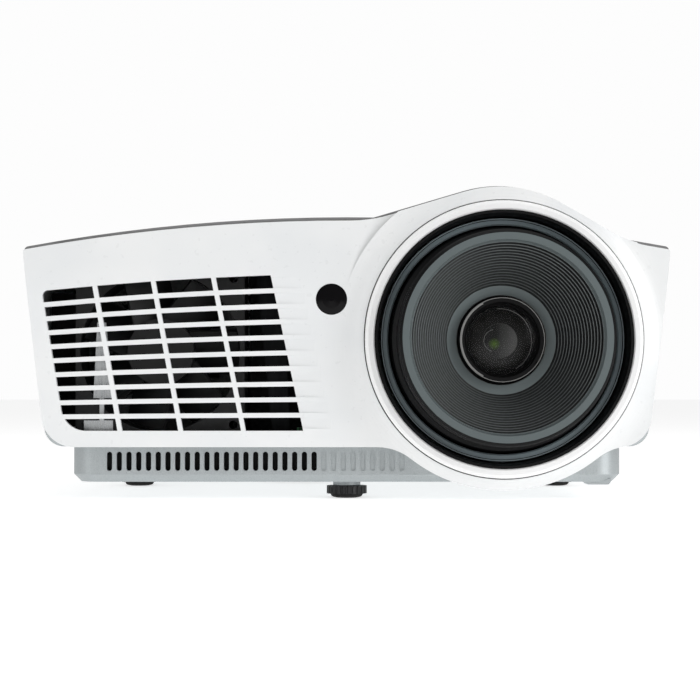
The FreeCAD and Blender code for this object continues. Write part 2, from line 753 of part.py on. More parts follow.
def rear_panel():
    x = opening_half + panel_overlap
    low, high = rear_opening_low - panel_overlap, rear_opening_high + panel_overlap
    panel = box(-x, x, y_inner - panel_thickness, y_inner, low, high)
    cuts = []
    for name, sx, width, height in socket_places():
        middle = (sx, y_inner - 1, board_top + socket_lift + height / 2)
        cuts.append(block_at(middle, (width + 0.6, 8, height + 0.6)))
    ix, iz = inlet_place()
    cuts.append(block_at((ix, y_inner - 1, iz), (28.6, 8, 20.6)))
    lock_x = (blower_x + main_board_bounds()[0]) / 2
    cuts.append(block_at((lock_x, y_inner - 1, board_top + 8), (7.0, 8, 3.0)))
    for i in range(7):
        cuts.append(block_at((blower_x - 18 + i * 6, y_inner - 1, rear_opening_high - 10), (2.4, 8, 14)))
    return panel.cut(cuts).removeSplitter()


def socket_leg(x, width, depth, top):
    """The part of a socket that stands on the board, behind the rear panel."""
    y1 = y_inner - panel_thickness - running_gap
    return box(x - width / 2, x + width / 2, y1 - depth, y1, board_top, top)


def d_socket(x, z, width, height):
    """A D-shaped socket: flange, shell and filled face, with its two hex standoffs."""
    y1 = y_inner - 0.2
    flange = block_at((x, y1 - 1.6, z), (width, 1.2, height))
    top, low = 8.2, 7.4
    points = [(x - top, z + 3.6), (x + top, z + 3.6), (x + low, z - 3.6), (x - low, z - 3.6)]
    shell = polygon_prism([(px, y1 - 14, pz) for px, pz in points], V(0, 14 + wall - 0.6, 0))
    posts = [rod(Y_AXIS, (x + s * 12.5, y1 - 2, z), 1.6, 3.6) for s in (-1, 1)]
    body = fused([flange, shell, socket_leg(x, width * 0.8, 12, z), *posts])
    rows = [(dx, dz) for dz in (-2, 0, 2) for dx in (-4, -2, 0, 2, 4)]
    pins = [rod(Y_AXIS, (x + dx, y1, z + dz), 0.45, 4) for dx, dz in rows]
    return body.cut(pins)


def slot_socket(x, z, width, height):
    """A metal shell with a flat slot and a tongue in it."""
    lip = 0.7
    y1 = y_inner - 0.2
    shell = block_at((x, y1 - 6, z), (width, 12, height))
    mouth = block_at((x, y1 - 3.5, z), (width - 2 * lip, 9, height - 2 * lip))
    tongue = block_at((x, y1 - 6, z), (width * 0.62, 11, height * 0.24))
    return fused([shell.cut(mouth), tongue, socket_leg(x, width, 10, z - height / 2 + lip)])


def round_socket(x, z, width, height, radius, bore, reach):
    """A round collar on a block, with a hole for the plug's pin."""
    collar = rod(Y_AXIS, (x, y_inner - 6, z), radius, 6 + reach)
    body = fused([socket_leg(x, width, 12, z + height / 2), collar])
    return body.cut(rod(Y_AXIS, (x, y_inner - 10, z), bore, 20))


def video_connectors():
    solids = []
    for name, x, width, height in socket_places():
        z = board_top + socket_lift + height / 2
        if name == "vga":
            solids.append(d_socket(x, z, width, height))
        elif name in ("hdmi", "usb"):
            solids.append(slot_socket(x, z, width, height))
        elif name == "video":
            solids.append(round_socket(x, z, width, height, 4.2, 1.6, wall - 0.6))
    return Part.makeCompound(solids)


def audio_jacks():
    solids = []
    for name, x, width, height in socket_places():
        if name == "audio":
            z = board_top + socket_lift + height / 2
            solids.append(round_socket(x, z, width, height, 3.4, 1.8, 1.0))
    return Part.makeCompound(solids)


def power_inlet():
    x, z = inlet_place()
    y1 = y_inner + 0.8
    body = block_at((x, y1 - 11, z), (28, 22, 20))
    flange = block_at((x, y_inner + 0.6, z), (31, 1.2, 23))
    cavity = block_at((x, y1 - 8, z), (24, 18, 16))
    blades = [block_at((x + dx, y1 - 12, z + dz), (2, 10, 4)) for dx, dz in ((-7, -1), (0, 3), (7, -1))]
    return fused([fused([body, flange]).cut(cavity), *blades])


def chips(bounds, z, places):
    """Blocks on a board. Each place is (share along x, share along y, width, depth, height)."""
    x0, x1, y0, y1 = bounds
    out = []
    for u, v, width, depth, height in places:
        x, y = x0 + (x1 - x0) * u, y0 + (y1 - y0) * v
        out.append(box(x - width / 2, x + width / 2, y - depth / 2, y + depth / 2, z, z + height))
    return out


def main_board():
    bounds = main_board_bounds()
    plate = box(*bounds, board_height, board_top)
    parts = [(0.3, 0.3, 26, 26, 3), (0.3, 0.3, 22, 22, 8), (0.62, 0.3, 14, 10, 1.6), (0.75, 0.3, 14, 10, 1.6)]
    parts += [(0.1, 0.35, 8, 12, 2), (0.5, 0.5, 8, 8, 5)]
    return fused([plate, *chips(bounds, board_top, parts)]).cut(board_holes())


def board_holes():
    radius = screw_radius + 0.2
    return [rod(Z_AXIS, (x, y, board_height - 1), radius, board + 2) for x, y in board_screw_places()]


def power_supply():
    bounds = supply_bounds()
    plate = box(*bounds, board_height, board_top)
    x0, x1, y0, y1 = bounds
    parts = [(0.3, 0.32, 20, 18, 20), (0.68, 0.2, 3, 14, 18)]
    caps = [rod(Z_AXIS, (x1 - 12, y0 + 26, board_top), 6, 20)]
    return fused([plate, *chips(bounds, board_top, parts), *caps]).cut(board_holes())


def board_screws():
    solids = [screw(x, y, board_top + screw_head_height, 8.0, up=False) for x, y in board_screw_places()]
    return Part.makeCompound(solids)


def case_screws():
    return Part.makeCompound([screw(x, y, ground_clearance + 1, 12.0) for x, y in case_screw_places()])


# ---------------------------------------------------------------- lens
def lens_trim_ring():
    front, back = y_face - flare_height - trim_stand, y_face - flare_height + trim_seat
    edge = 0.5
    profile = [(trim_inner, back), (trim_inner, front + edge), (trim_inner + edge, front)]
    profile += [(trim_radius - 1.6, front), (trim_radius - 0.4, front + 0.6), (trim_radius, front + 1.8)]
    return turned([*profile, (trim_radius, back)], (lens_x, 0, lens_z))


def lens_shroud():
    ring_back = y_face - flare_height + trim_seat
    mouth = y_face - flare_height - 1.4
    bore = zoom_radius + 0.6
    flange = y_face + wall
    profile = [(trim_inner - 0.1, mouth), (trim_inner - 0.1, ring_back), (trim_inner + shroud_wall - 0.2, ring_back)]
    profile += [(trim_inner + shroud_wall - 0.2, flange), (trim_radius + 1.6, flange)]
    profile += [(trim_radius + 1.6, flange + 2.2), (bore + 1.6, flange + 2.2), (bore + 1.6, flange + 8)]
    profile += [(bore, flange + 8), (bore, y_face + zoom_front), (shroud_mouth, mouth)]
    return turned(profile, (lens_x, 0, lens_z))


def zoom_ring():
    y0 = y_face + zoom_front
    y1 = y0 + zoom_length
    profile = [(zoom_inner, y1), (zoom_inner, y0 + 0.6), (zoom_inner + 0.6, y0 + 0.1), (zoom_radius - 1.0, y0 + 0.5)]
    profile += [(zoom_radius - 0.7, y0), (zoom_radius - 0.2, y0), (zoom_radius, y0 + 0.4), (zoom_radius, y1)]
    ring = turned(profile, (lens_x, 0, lens_z))
    ribs = []
    for i in range(60):
        a = math.radians(i * 6)
        at = (lens_x + zoom_radius * math.cos(a), y1 - 8, lens_z + zoom_radius * math.sin(a))
        ribs.append(rod(Y_AXIS, at, 0.7, 9))
    return ring.cut(ribs)


def focus_ring():
    floor = y_face + funnel_floor
    rim = y_tip
    tread = 0.35
    steps = []
    for i in range(funnel_steps + 1):
        share = i / funnel_steps
        radius = funnel_mouth + (funnel_throat - funnel_mouth) * share
        y = rim + 0.9 + (floor - rim - 0.9) * share
        steps.append((radius, y))
    inner = [(funnel_mouth, rim)]
    for radius, y in steps[1:]:
        inner += [(radius + tread, y), (radius, y)]
    hub = barrel_radius + running_gap
    hole = cell_radius + 0.6
    base_y = y_face + zoom_front - 0.7
    back = floor + funnel_wall
    outer = [(focus_radius, rim), (focus_radius + 1.0, rim + 0.8), (focus_radius + 1.0, rim + 5)]
    outer += [(focus_grip_radius, rim + 6), (focus_grip_radius, base_y - 5), (focus_base_radius - 0.6, base_y - 4.2)]
    outer += [(focus_base_radius, base_y - 3.4), (focus_base_radius, base_y + focus_base_length)]
    shell = [(focus_base_radius - 2.4, base_y + focus_base_length), (focus_base_radius - 2.4, base_y - 2)]
    shell += [(funnel_mouth + 2.6, rim + 4.5), (hub + 2.4, back - 1.2), (hub + 2.4, back + 8), (hub, back + 8)]
    shell += [(hub, back), (hole, back), (hole, floor)]
    profile = [*shell, *[p for p in reversed(inner)], *outer]
    return turned(profile, (lens_x, 0, lens_z))


def front_lens_cell():
    y0 = y_face + funnel_floor - cell_stand
    y1 = y_face + funnel_floor + 14
    lip = glass_radius - 0.9
    profile = [(lip + 0.5, y0), (cell_radius - 0.5, y0), (cell_radius, y0 + 0.5), (cell_radius, y1 - 7)]
    profile += [(cell_guide, y1 - 7), (cell_guide, y1), (zoom_glass_radius, y1), (zoom_glass_radius, y1 - 1)]
    profile += [(14.0, y1 - 5), (14.0, y1 - 6), (15.2, y1 - 6), (glass_radius - 1.4, y0 + 7.6)]
    profile += [(glass_radius, y0 + 7.6), (glass_radius, y0 + 1.6), (lip, y0 + 1.0)]
    cell = turned(profile, (lens_x, 0, lens_z))
    notch = []
    for angle in (145.0, -35.0):
        a = math.radians(angle)
        at = (lens_x + cell_radius * math.cos(a), y0 - 1, lens_z + cell_radius * math.sin(a))
        notch.append(rod(Y_AXIS, at, 1.6, 2.6))
    return cell.cut(notch)


def domed_glass(radius, y_front, y_edge, y_back, dish):
    """A lens element: domed front, ground edge and a dished back, on the lens axis."""
    steps = 10
    front = [(radius * t / steps, y_front + (y_edge - y_front) * (t / steps) ** 2) for t in range(steps + 1)]
    back = [(radius * t / steps, y_back - dish * (1 - (t / steps) ** 2)) for t in range(steps, -1, -1)]
    return turned([*front, *back], (lens_x, 0, lens_z))


def front_lens():
    y0 = y_face + funnel_floor - cell_stand
    return domed_glass(glass_radius, y0 - 0.9, y0 + 2.4, y0 + 7.6, 1.4)


def zoom_cell_front():
    return y_face + funnel_floor + 14 + helicoid_travel + zoom_travel + 1.0


def zoom_lens_cell():
    y0 = zoom_cell_front()
    bore = zoom_glass_radius
    body = tube(Y_AXIS, (lens_x, y0, lens_z), barrel_bore - running_gap, bore, 14)
    return body.cut(tube(Y_AXIS, (lens_x, y0 + 3, lens_z), barrel_bore + 1, barrel_bore - 2.5, 8))


def zoom_lens():
    y0 = zoom_cell_front()
    return domed_glass(zoom_glass_radius, y0 + 0.4, y0 + 2.0, y0 + 9.0, 0.8)


def lens_barrel():
    y0 = y_face + funnel_floor + funnel_wall + 1.0
    y1 = y_barrel_end
    y_zoom = y_face + zoom_front + zoom_length - 4.0
    disc = zoom_inner - running_gap
    profile = [(barrel_bore, y0), (barrel_radius, y0), (barrel_radius, y_zoom), (disc, y_zoom), (disc, y_zoom + 3)]
    profile += [(barrel_radius, y_zoom + 3), (barrel_radius, y1 - 3), (engine_half - 3, y1 - 3)]
    profile += [(engine_half - 3, y1), (barrel_bore, y1)]
    return turned(profile, (lens_x, 0, lens_z))


# ---------------------------------------------------------------- infrared window
def ir_window():
    x, y, z = ir_place(y_face)
    profile = [(0, -0.5), (ir_radius * 0.6, -0.3), (ir_radius, 0.2), (ir_radius, wall)]
    profile += [(ir_radius + ir_flange, wall), (ir_radius + ir_flange, wall + 1.2), (0, wall + 1.2)]
    return turned(profile, (x, y, z))


def ir_receiver():
    x, y, z = ir_place(y_face + wall + 1.2)
    plate = block_at((x, y + 5.8, z), (22, board, 16))
    can = block_at((x, y + 2.5, z), (6, 5, 7))
    return fused([plate, can])


# ---------------------------------------------------------------- feet
def foot_wheel(x, y):
    notches = []
    for i in range(24):
        a = math.radians(15 * i)
        at = (x + foot_wheel_radius * math.cos(a), y + foot_wheel_radius * math.sin(a), 0)
        notches.append(rod(Z_AXIS, at, 0.55, 10))
    height = foot_wheel_top - foot_wheel_bottom
    disc = rod(Z_AXIS, (x, y, foot_wheel_bottom), foot_wheel_radius, height)
    stud = rod(Z_AXIS, (x, y, stud_root), stud_radius, stud_length)
    pivot = rod(Z_AXIS, (x, y, 0.9), 2.2, foot_wheel_bottom)
    return disc.cut(notches).fuse([stud, pivot]).removeSplitter()


def foot_pad(x, y):
    top = foot_wheel_bottom - 0.2
    r = foot_pad_radius
    profile = [(0, 0), (r - 2.6, 0), (r - 1.0, 0.35), (r - 0.2, 0.9), (r, top), (2.3, top), (2.3, 0.7), (0, 0.7)]
    return turned(profile, (x, y, 0), Z_AXIS)


def foot_inserts():
    places = foot_places().values()
    inner = stud_radius + running_gap
    return Part.makeCompound(
        [tube(Z_AXIS, (x, y, ground_clearance), insert_radius, inner, foot_boss_height) for x, y in places]
    )


# ---------------------------------------------------------------- keypad
def push_button(x, y, radius):
    surface = top_at(x)
    flange_top = surface - wall - button_slack
    cap_top = surface + button_stand
    edge = 0.5
    profile = [(0, cap_top), (radius - edge, cap_top), (radius, cap_top - edge), (radius, flange_top)]
    profile += [(radius + 1.4, flange_top), (radius + 1.4, flange_top - button_flange)]
    profile += [(1.5, flange_top - button_flange), (1.5, keypad_top() + button_travel + 0.2)]
    profile += [(0, keypad_top() + button_travel + 0.2)]
    return turned(profile, (x, y, 0), Z_AXIS)


def indicator_lenses():
    solids = []
    for x, y in indicator_places():
        z0 = keypad_top()
        solids.append(rod(Z_AXIS, (x, y, z0), 1.1, top_at(x) + 0.1 - z0))
    return Part.makeCompound(solids)


def keypad_board():
    x, y = keypad_width / 2, keypad_depth / 2
    plate = box(pad_x - x, pad_x + x, pad_y - y, pad_y + y, keypad_top() - board, keypad_top())
    holes = [rod(Z_AXIS, (hx, hy, keypad_top() - 3), 1.2, 6) for hx, hy in keypad_corners()]
    return plate.cut(holes)


# ---------------------------------------------------------------- cooling
def fan_blades(centre, hub, tip, count, width, pitch):
    """A hub along Y with flat blades, each turned by pitch degrees."""
    blades = []
    for i in range(count):
        blade = Part.makeBox(tip - hub + 2, width, 1.4, V(hub - 2, -width / 2, -0.7))
        blade.rotate(V(0, 0, 0), X_AXIS, pitch)
        blade.rotate(V(0, 0, 0), Z_AXIS, 360 / count * i)
        blades.append(blade)
    group = fused([*blades, rod(Z_AXIS, (0, 0, -width * 0.32), hub, width * 0.64)])
    group.rotate(V(0, 0, 0), X_AXIS, 90)
    group.translate(V(*centre))
    return group


def exhaust_fan_frame():
    s = fan_size / 2
    y1 = fan_y + fan_depth
    body = box(fan_x - s, fan_x + s, fan_y, y1, fan_z - s, fan_z + s)
    body = rounded(body, 4.0, Y_AXIS, fan_depth)
    body = body.cut(rod(Y_AXIS, (fan_x, fan_y - 1, fan_z), s - 2.0, fan_depth + 2))
    hub = rod(Y_AXIS, (fan_x, y1 - 3, fan_z), 15, 3)
    struts = []
    for angle in (45, 135):
        strut = block_at((0, 0, 0), (fan_size - 2, 2.6, 3))
        strut.rotate(V(0, 0, 0), Y_AXIS, angle)
        strut.translate(V(fan_x, y1 - 1.5, fan_z))
        struts.append(strut)
    inner = rod(Y_AXIS, (fan_x, fan_y, fan_z), s - 1.0, fan_depth)
    spider = fused([hub, *struts]).common(inner)
    holes = [rod(Y_AXIS, (fan_x + sx * (s - 5), fan_y - 1, fan_z + sz * (s - 5)), 2.0, fan_depth + 2) for sx, sz in
             ((-1, -1), (-1, 1), (1, -1), (1, 1))]
    return body.fuse(spider).cut(holes).removeSplitter()


def exhaust_fan_rotor():
    tip = fan_size / 2 - 3.0
    blades = fan_blades((fan_x, fan_y + 10.5, fan_z), 15, tip, 7, 24.0, 38)
    swept = rod(Y_AXIS, (fan_x, fan_y + 1, fan_z), tip, fan_depth - 5.0)
    shaft = rod(Y_AXIS, (fan_x, fan_y + 10, fan_z), 4.0, fan_depth - 3 - 10 - seam)
    return blades.common(swept).fuse(shaft).removeSplitter()


def fan_bracket():
    """Bright metal strap that holds the exhaust fan, with its foot."""
    x = fan_x - fan_size / 2 + 12.0
    y = fan_y - 1.0
    low_z, high_z = fan_z - 21, fan_z + 13
    corners = [(x - 3.8, low_z), (x + 5.2, low_z), (x + 1.8, high_z), (x - 2.2, high_z)]
    strap = polygon_prism([(px, y, pz) for px, pz in corners], V(0, fan_y - y, 0))
    foot = box(x - 8, x + 5, y, fan_y, fan_z - fan_size / 2 + 2, fan_z - fan_size / 2 + 7)
    link = box(x - 1, x + 1, y, fan_y, fan_z - fan_size / 2 + 5, fan_z - 18)
    return fused([strap, link, foot])


def blower_housing():
    s = blower_size / 2
    z0 = pan_floor
    body = box(blower_x - s, blower_x + s, blower_y - s, blower_y + s, z0, z0 + blower_height)
    body = rounded(body, 10.0, Z_AXIS, blower_height)
    hollow = rod(Z_AXIS, (blower_x, blower_y, z0 + 1.6), s - 3, blower_height - 3.2)
    outlet = box(blower_x - s + 4, blower_x - 2, blower_y - s - 1, blower_y, z0 + 1.6, z0 + blower_height - 1.6)
    eyes = rod(Z_AXIS, (blower_x, blower_y, z0 - 1), s - 9, blower_height + 2)
    body = body.cut([hollow, outlet, eyes])
    spokes = [block_at((blower_x, blower_y, z0 + blower_height - 0.8), size) for size in ((2 * s - 14, 2.4, 1.6), (2.4, 2 * s - 14, 1.6))]
    hub = rod(Z_AXIS, (blower_x, blower_y, z0 + blower_height - 1.6), 8, 1.6)
    return fused([body, hub, *spokes])


def blower_rotor():
    z0 = pan_floor + 2.4
    tall = blower_height - 5.2
    outer = blower_size / 2 - 4.5
    hub = rod(Z_AXIS, (blower_x, blower_y, z0), 8, tall)
    disc = tube(Z_AXIS, (blower_x, blower_y, z0 + tall / 2 - 0.6), outer, 7, 1.2)
    vanes = []
    for i in range(24):
        vane = block_at((outer - 3.5, 0, 0), (6.5, 0.9, tall))
        vane.rotate(V(0, 0, 0), Z_AXIS, i * 15)
        vane.translate(V(blower_x, blower_y, z0 + tall / 2))
        vanes.append(vane)
    return fused([hub, disc, *vanes])


# ---------------------------------------------------------------- lamp and light path
def lamp_housing():
    w, d, h = lamp_width / 2, lamp_depth / 2, lamp_height / 2
    outer = box(lamp_x - w, lamp_x + w, light_y - d, light_y + d, light_z - h, light_z + h)
    inner = box(lamp_x - w + 2, lamp_x + w - 2, light_y - d + 2, light_y + d - 2, light_z - h + 2, light_z + h - 2)
    window = rod(X_AXIS, (lamp_x, light_y, light_z), 24, lamp_width)
    vents = []
    for row in range(6):
        z = light_z - 20 + row * 8
        vents.append(box(lamp_x - w + 8, lamp_x + w - 8, light_y - d - 1, light_y + d + 1, z, z + 3.5))
    back = rod(-X_AXIS, (lamp_x, light_y, light_z), 6, lamp_width)
    return outer.cut([inner, window, back, *vents])


def lamp_reflector():
    """Bowl of the lamp, which opens towards the light tunnel."""
    steps = 8
    mouth, depth, thick = 26.0, 34.0, 2.0
    x_mouth = lamp_right - 2.4
    curve = [(6.0 + (mouth - 6.0) * (t / steps), depth * (t / steps) ** 1.8) for t in range(steps + 1)]
    inner = [(r, x_mouth - depth + a) for r, a in curve]
    outer = [(r + thick, a) for r, a in reversed(inner)]
    neck = [(6.0 + thick, x_mouth - depth - 10), (6.0, x_mouth - depth - 10)]
    points = [V(a, r, 0) for r, a in [*inner, *outer, *neck]]
    bowl = Part.Face(Part.makePolygon([*points, points[0]])).revolve(V(0, 0, 0), X_AXIS, 360)
    if bowl.Volume < 0:
        bowl.reverse()
    bowl.translate(V(0, light_y, light_z))
    return bowl


def lamp_burner():
    x = lamp_right - 2.4 - 34.0
    neck = rod(X_AXIS, (x - 14, light_y, light_z), 4.4, 18)
    bulb = Part.makeSphere(5.2, V(x + 9, light_y, light_z))
    tip = rod(X_AXIS, (x + 9, light_y, light_z), 2.2, 18)
    return fused([neck, bulb, tip])


def lamp_handle():
    z = light_z + lamp_height / 2
    bow = box(lamp_x - 18, lamp_x + 18, light_y - 4, light_y + 4, z, z + 5.0)
    return bow.cut(box(lamp_x - 14, lamp_x + 14, light_y - 5, light_y + 5, z - 1, z + 3.0))


def color_wheel():
    disc = tube(X_AXIS, (wheel_x, light_y, wheel_z), wheel_radius, 6.0, 1.2)
    hub = rod(X_AXIS, (wheel_x - 1.2, light_y, wheel_z), 7.0, 3.6)
    return fused([disc, hub])


def color_wheel_motor():
    x = wheel_x + 2.4 + seam
    can = rod(X_AXIS, (x, light_y, wheel_z), 9.0, 8.0)
    post = box(x, x + 3, light_y - 9, light_y + 9, pan_floor, wheel_z)
    foot = box(x, x + 14, light_y - 9, light_y + 9, pan_floor, pan_floor + 2)
    return fused([can, post, foot])


def light_tunnel():
    x0, x1 = wheel_x + 5.0, engine_left - 22.0
    s = tunnel_size / 2
    outer = box(x0, x1, light_y - s, light_y + s, light_z - s, light_z + s)
    bore = box(x0 - 1, x1 + 1, light_y - s + 1, light_y + s - 1, light_z - s + 1, light_z + s - 1)
    stand = box(x0 + 20, x1 - 4, light_y - 5, light_y + 5, pan_floor, light_z - s)
    return fused([outer, stand]).cut(bore)


def relay_lens():
    x = engine_left - 16.0
    disc = rod(X_AXIS, (x, light_y, light_z), 12.0, 5.0)
    ball = Part.makeSphere(22.0, V(x + 22.0 - 3.0, light_y, light_z))
    cap = ball.common(rod(X_AXIS, (x - 5, light_y, light_z), 10.0, 8.0))
    stand = box(x + 0.5, x + 4.5, light_y - 8, light_y + 8, pan_floor, light_z)
    return fused([disc, cap, stand])


def engine_housing():
    x0, x1 = engine_left, lens_x + engine_half
    y0, y1 = y_barrel_end, engine_back
    z0, z1 = engine_low, engine_low + engine_height
    w = engine_wall
    outer = rounded(box(x0, x1, y0, y1, z0, z1), 5.0, Z_AXIS, engine_height)
    inner = box(x0 + w, x1 - w, y0 + w, y1 - w, z0 + w, z1 - w)
    lens_hole = rod(Y_AXIS, (lens_x, y0 - 1, lens_z), barrel_bore, w + 2)
    light_hole = rod(X_AXIS, (x0 - 1, light_y, light_z), 12, w + 2)
    chip_hole = block_at((lens_x, y1, lens_z), (26, 2 * w + 2, 20))
    legs = [rod(Z_AXIS, (x, y, pan_floor), 4.5, z0 - pan_floor) for x in (x0 + 8, x1 - 8) for y in (y0 + 8, y1 - 8)]
    return outer.cut([inner, lens_hole, light_hole, chip_hole]).fuse(legs).removeSplitter()


def dmd_board():
    y = engine_back
    plate = box(lens_x - 30, lens_x + 30, y, y + board, lens_z - 28, lens_z + 26)
    chip = block_at((lens_x, y - 1, lens_z), (24, 3, 18))
    return fused([plate, chip])


def dmd_heat_sink():
    y = engine_back + board
    base = box(lens_x - 22, lens_x + 22, y, y + 4, lens_z - 20, lens_z + 20)
    fins = []
    for i in range(9):
        x = lens_x - 21 + i * 5.0
        fins.append(box(x, x + 2.0, y + 3, y + 22, lens_z - 20, lens_z + 20))
    return fused([base, *fins])


def lamp_ballast():
    x0, x1 = fan_x + fan_size / 2 + 6, -foot_boss_radius - 2
    y0, y1 = fan_y + 8, y_barrel_end
    z0 = pan_floor
    plate = box(x0, x1, y0, y1, z0 + 4, z0 + 4 + board)
    parts = [(0.3, 0.4, 18, 18, 14), (0.75, 0.3, 12, 12, 16), (0.7, 0.75, 3, 20, 18)]
    feet = [rod(Z_AXIS, (x, y, z0), 3, 4) for x in (x0 + 5, x1 - 5) for y in (y0 + 5, y1 - 5)]
    cap = rod(Z_AXIS, (x0 + 9, y1 - 12, z0 + 4), 6, 20)
    return fused([plate, cap, *feet, *chips((x0, x1, y0, y1), z0 + 4 + board, parts)])


def speaker():
    z = parting_height
    reach = side_at(z - 18) - wall - 1.5
    y = light_y + 20
    frame = rounded(box(reach - 3, reach, y - 18, y + 18, z - 18, z + 18), 4.0, X_AXIS, 3.0)
    points = [(17.0, reach - 3), (9.0, reach - 9), (9.0, reach - 15), (0.01, reach - 15), (0.01, reach - 3)]
    flat = [V(a, r, 0) for r, a in points]
    basket = Part.Face(Part.makePolygon([*flat, flat[0]])).revolve(V(0, 0, 0), X_AXIS, 360)
    if basket.Volume < 0:
        basket.reverse()
    basket.translate(V(0, y, z))
    dish = Part.makeCone(3, 15, 5, V(reach - 4.5, y, z), X_AXIS)
    return frame.fuse(basket).removeSplitter().cut(dish)


# ---------------------------------------------------------------- run and export
def main():
    os.makedirs("parts", exist_ok=True)
    shell = case_shell()
    pieces = {
        "front_bezel": front_bezel(),
        "top_cover": top_cover(shell),
        "bottom_case": bottom_case(shell),
        "rear_panel": rear_panel(),
        "lamp_door": lamp_door(),
        "lamp_door_screw": lamp_door_screw(),
        "lens_trim_ring": lens_trim_ring(),
        "lens_shroud": lens_shroud(),
        "zoom_ring": zoom_ring(),
        "focus_ring": focus_ring(),
        "front_lens_cell": front_lens_cell(),
        "front_lens": front_lens(),
        "zoom_lens_cell": zoom_lens_cell(),
        "zoom_lens": zoom_lens(),
        "lens_barrel": lens_barrel(),
        "ir_window": ir_window(),
        "ir_receiver": ir_receiver(),
        "foot_inserts": foot_inserts(),
        "indicator_lenses": indicator_lenses(),
        "keypad_board": keypad_board(),
        "exhaust_fan_frame": exhaust_fan_frame(),
        "exhaust_fan_rotor": exhaust_fan_rotor(),
        "fan_bracket": fan_bracket(),
        "blower_housing": blower_housing(),
        "blower_rotor": blower_rotor(),
        "lamp_housing": lamp_housing(),
        "lamp_reflector": lamp_reflector(),
        "lamp_burner": lamp_burner(),
        "lamp_handle": lamp_handle(),
        "color_wheel": color_wheel(),
        "color_wheel_motor": color_wheel_motor(),
        "light_tunnel": light_tunnel(),
        "relay_lens": relay_lens(),
        "engine_housing": engine_housing(),
        "dmd_board": dmd_board(),
        "dmd_heat_sink": dmd_heat_sink(),
        "main_board": main_board(),
        "power_supply": power_supply(),
        "lamp_ballast": lamp_ballast(),
        "speaker": speaker(),
        "video_connectors": video_connectors(),
        "audio_jacks": audio_jacks(),
        "power_inlet": power_inlet(),
        "board_screws": board_screws(),
        "case_screws": case_screws(),
    }
    for name, (x, y) in foot_places().items():
        pieces[f"{name}_foot_wheel"] = foot_wheel(x, y)
        pieces[f"{name}_foot_pad"] = foot_pad(x, y)
    for name, (x, y, radius) in button_places().items():
        pieces[f"{name}_button"] = push_button(x, y, radius)
    for name, shape in pieces.items():
        shape.exportStep(f"parts/{name}.step")
    sizes = {name: (len(s.Solids), round(s.Volume / 1000, 2), s.isValid()) for name, s in pieces.items()}
    for name, (count, volume, valid) in sizes.items():
        print(f"{name}: {count} solids, {volume} cm3, {'valid' if valid else 'NOT VALID'}")


main()
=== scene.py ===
import math

import bmesh
import bpy
from mathutils import Matrix, Vector


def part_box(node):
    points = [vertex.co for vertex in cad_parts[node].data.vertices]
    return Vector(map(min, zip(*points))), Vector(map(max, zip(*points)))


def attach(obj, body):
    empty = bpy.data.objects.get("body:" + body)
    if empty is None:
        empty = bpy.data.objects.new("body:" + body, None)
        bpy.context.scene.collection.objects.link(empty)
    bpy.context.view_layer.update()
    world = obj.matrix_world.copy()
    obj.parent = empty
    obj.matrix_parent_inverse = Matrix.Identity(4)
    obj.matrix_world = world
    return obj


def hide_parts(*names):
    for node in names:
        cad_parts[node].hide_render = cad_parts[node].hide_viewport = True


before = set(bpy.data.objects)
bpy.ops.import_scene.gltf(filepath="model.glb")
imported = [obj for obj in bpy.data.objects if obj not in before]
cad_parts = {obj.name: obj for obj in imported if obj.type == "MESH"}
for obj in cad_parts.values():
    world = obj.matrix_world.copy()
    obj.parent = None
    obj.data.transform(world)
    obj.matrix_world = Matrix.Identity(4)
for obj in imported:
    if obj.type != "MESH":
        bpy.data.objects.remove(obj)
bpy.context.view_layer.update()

MM = 0.001

# ---------------------------------------------------------------- places, from the parts' boxes in model.glb


def middle(node):
    """The middle of a carried-over part's box at rest."""
    low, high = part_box(node)
    return (Vector(low) + Vector(high)) / 2


def low_of(node):
    """The corner of a part's box with its least X, Y and Z."""
    return Vector(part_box(node)[0])


def high_of(node):
    """The corner of a part's box with its greatest X, Y and Z."""
    return Vector(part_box(node)[1])


lens = middle("lens_trim_ring")
face_y = high_of("lens_trim_ring").y + 2.0 * MM
cell_front = low_of("front_lens_cell").y
zoom_front = low_of("zoom_lens_cell").y
BUTTONS = ("power", "menu", "source", "up", "down", "left", "right", "enter")
FEET = ("front", "left", "right")

# ---------------------------------------------------------------- materials


def paint(text):
    """An sRGB hex colour as the linear values that a shader takes."""
    parts = [int(text[i : i + 2], 16) / 255 for i in (1, 3, 5)]
    linear = [c / 12.92 if c <= 0.04045 else ((c + 0.055) / 1.055) ** 2.4 for c in parts]
    return (*linear, 1.0)


def per(size_mm):
    """The texture scale that gives a pattern of this size in millimetres."""
    return 1000.0 / size_mm


def add(tree, kind, inputs=None, **settings):
    """Adds a node with its settings. An input is a value, or a (node, output) pair to link."""
    made = tree.nodes.new(kind)
    for name, value in settings.items():
        setattr(made, name, value)
    for name, value in (inputs or {}).items():
        if isinstance(value, tuple) and isinstance(value[0], bpy.types.Node):
            tree.links.new(value[0].outputs[value[1]], made.inputs[name])
        else:
            made.inputs[name].default_value = value
    return made


def start(name, **constants):
    """A new material, with constants set on its shader. Gives its tree, shader and coordinates."""
    made = bpy.data.materials.new(name)
    made.use_nodes = True
    tree = made.node_tree
    shader = tree.nodes["Principled BSDF"]
    for key, value in constants.items():
        shader.inputs[key.replace("_", " ")].default_value = value
    place = add(tree, "ShaderNodeTexCoord")
    return made, tree, shader, (place, "Object")


def link(tree, source, shader, socket):
    """Links a (node, output) pair to a socket of the shader."""
    tree.links.new(source[0].outputs[source[1]], shader.inputs[socket])


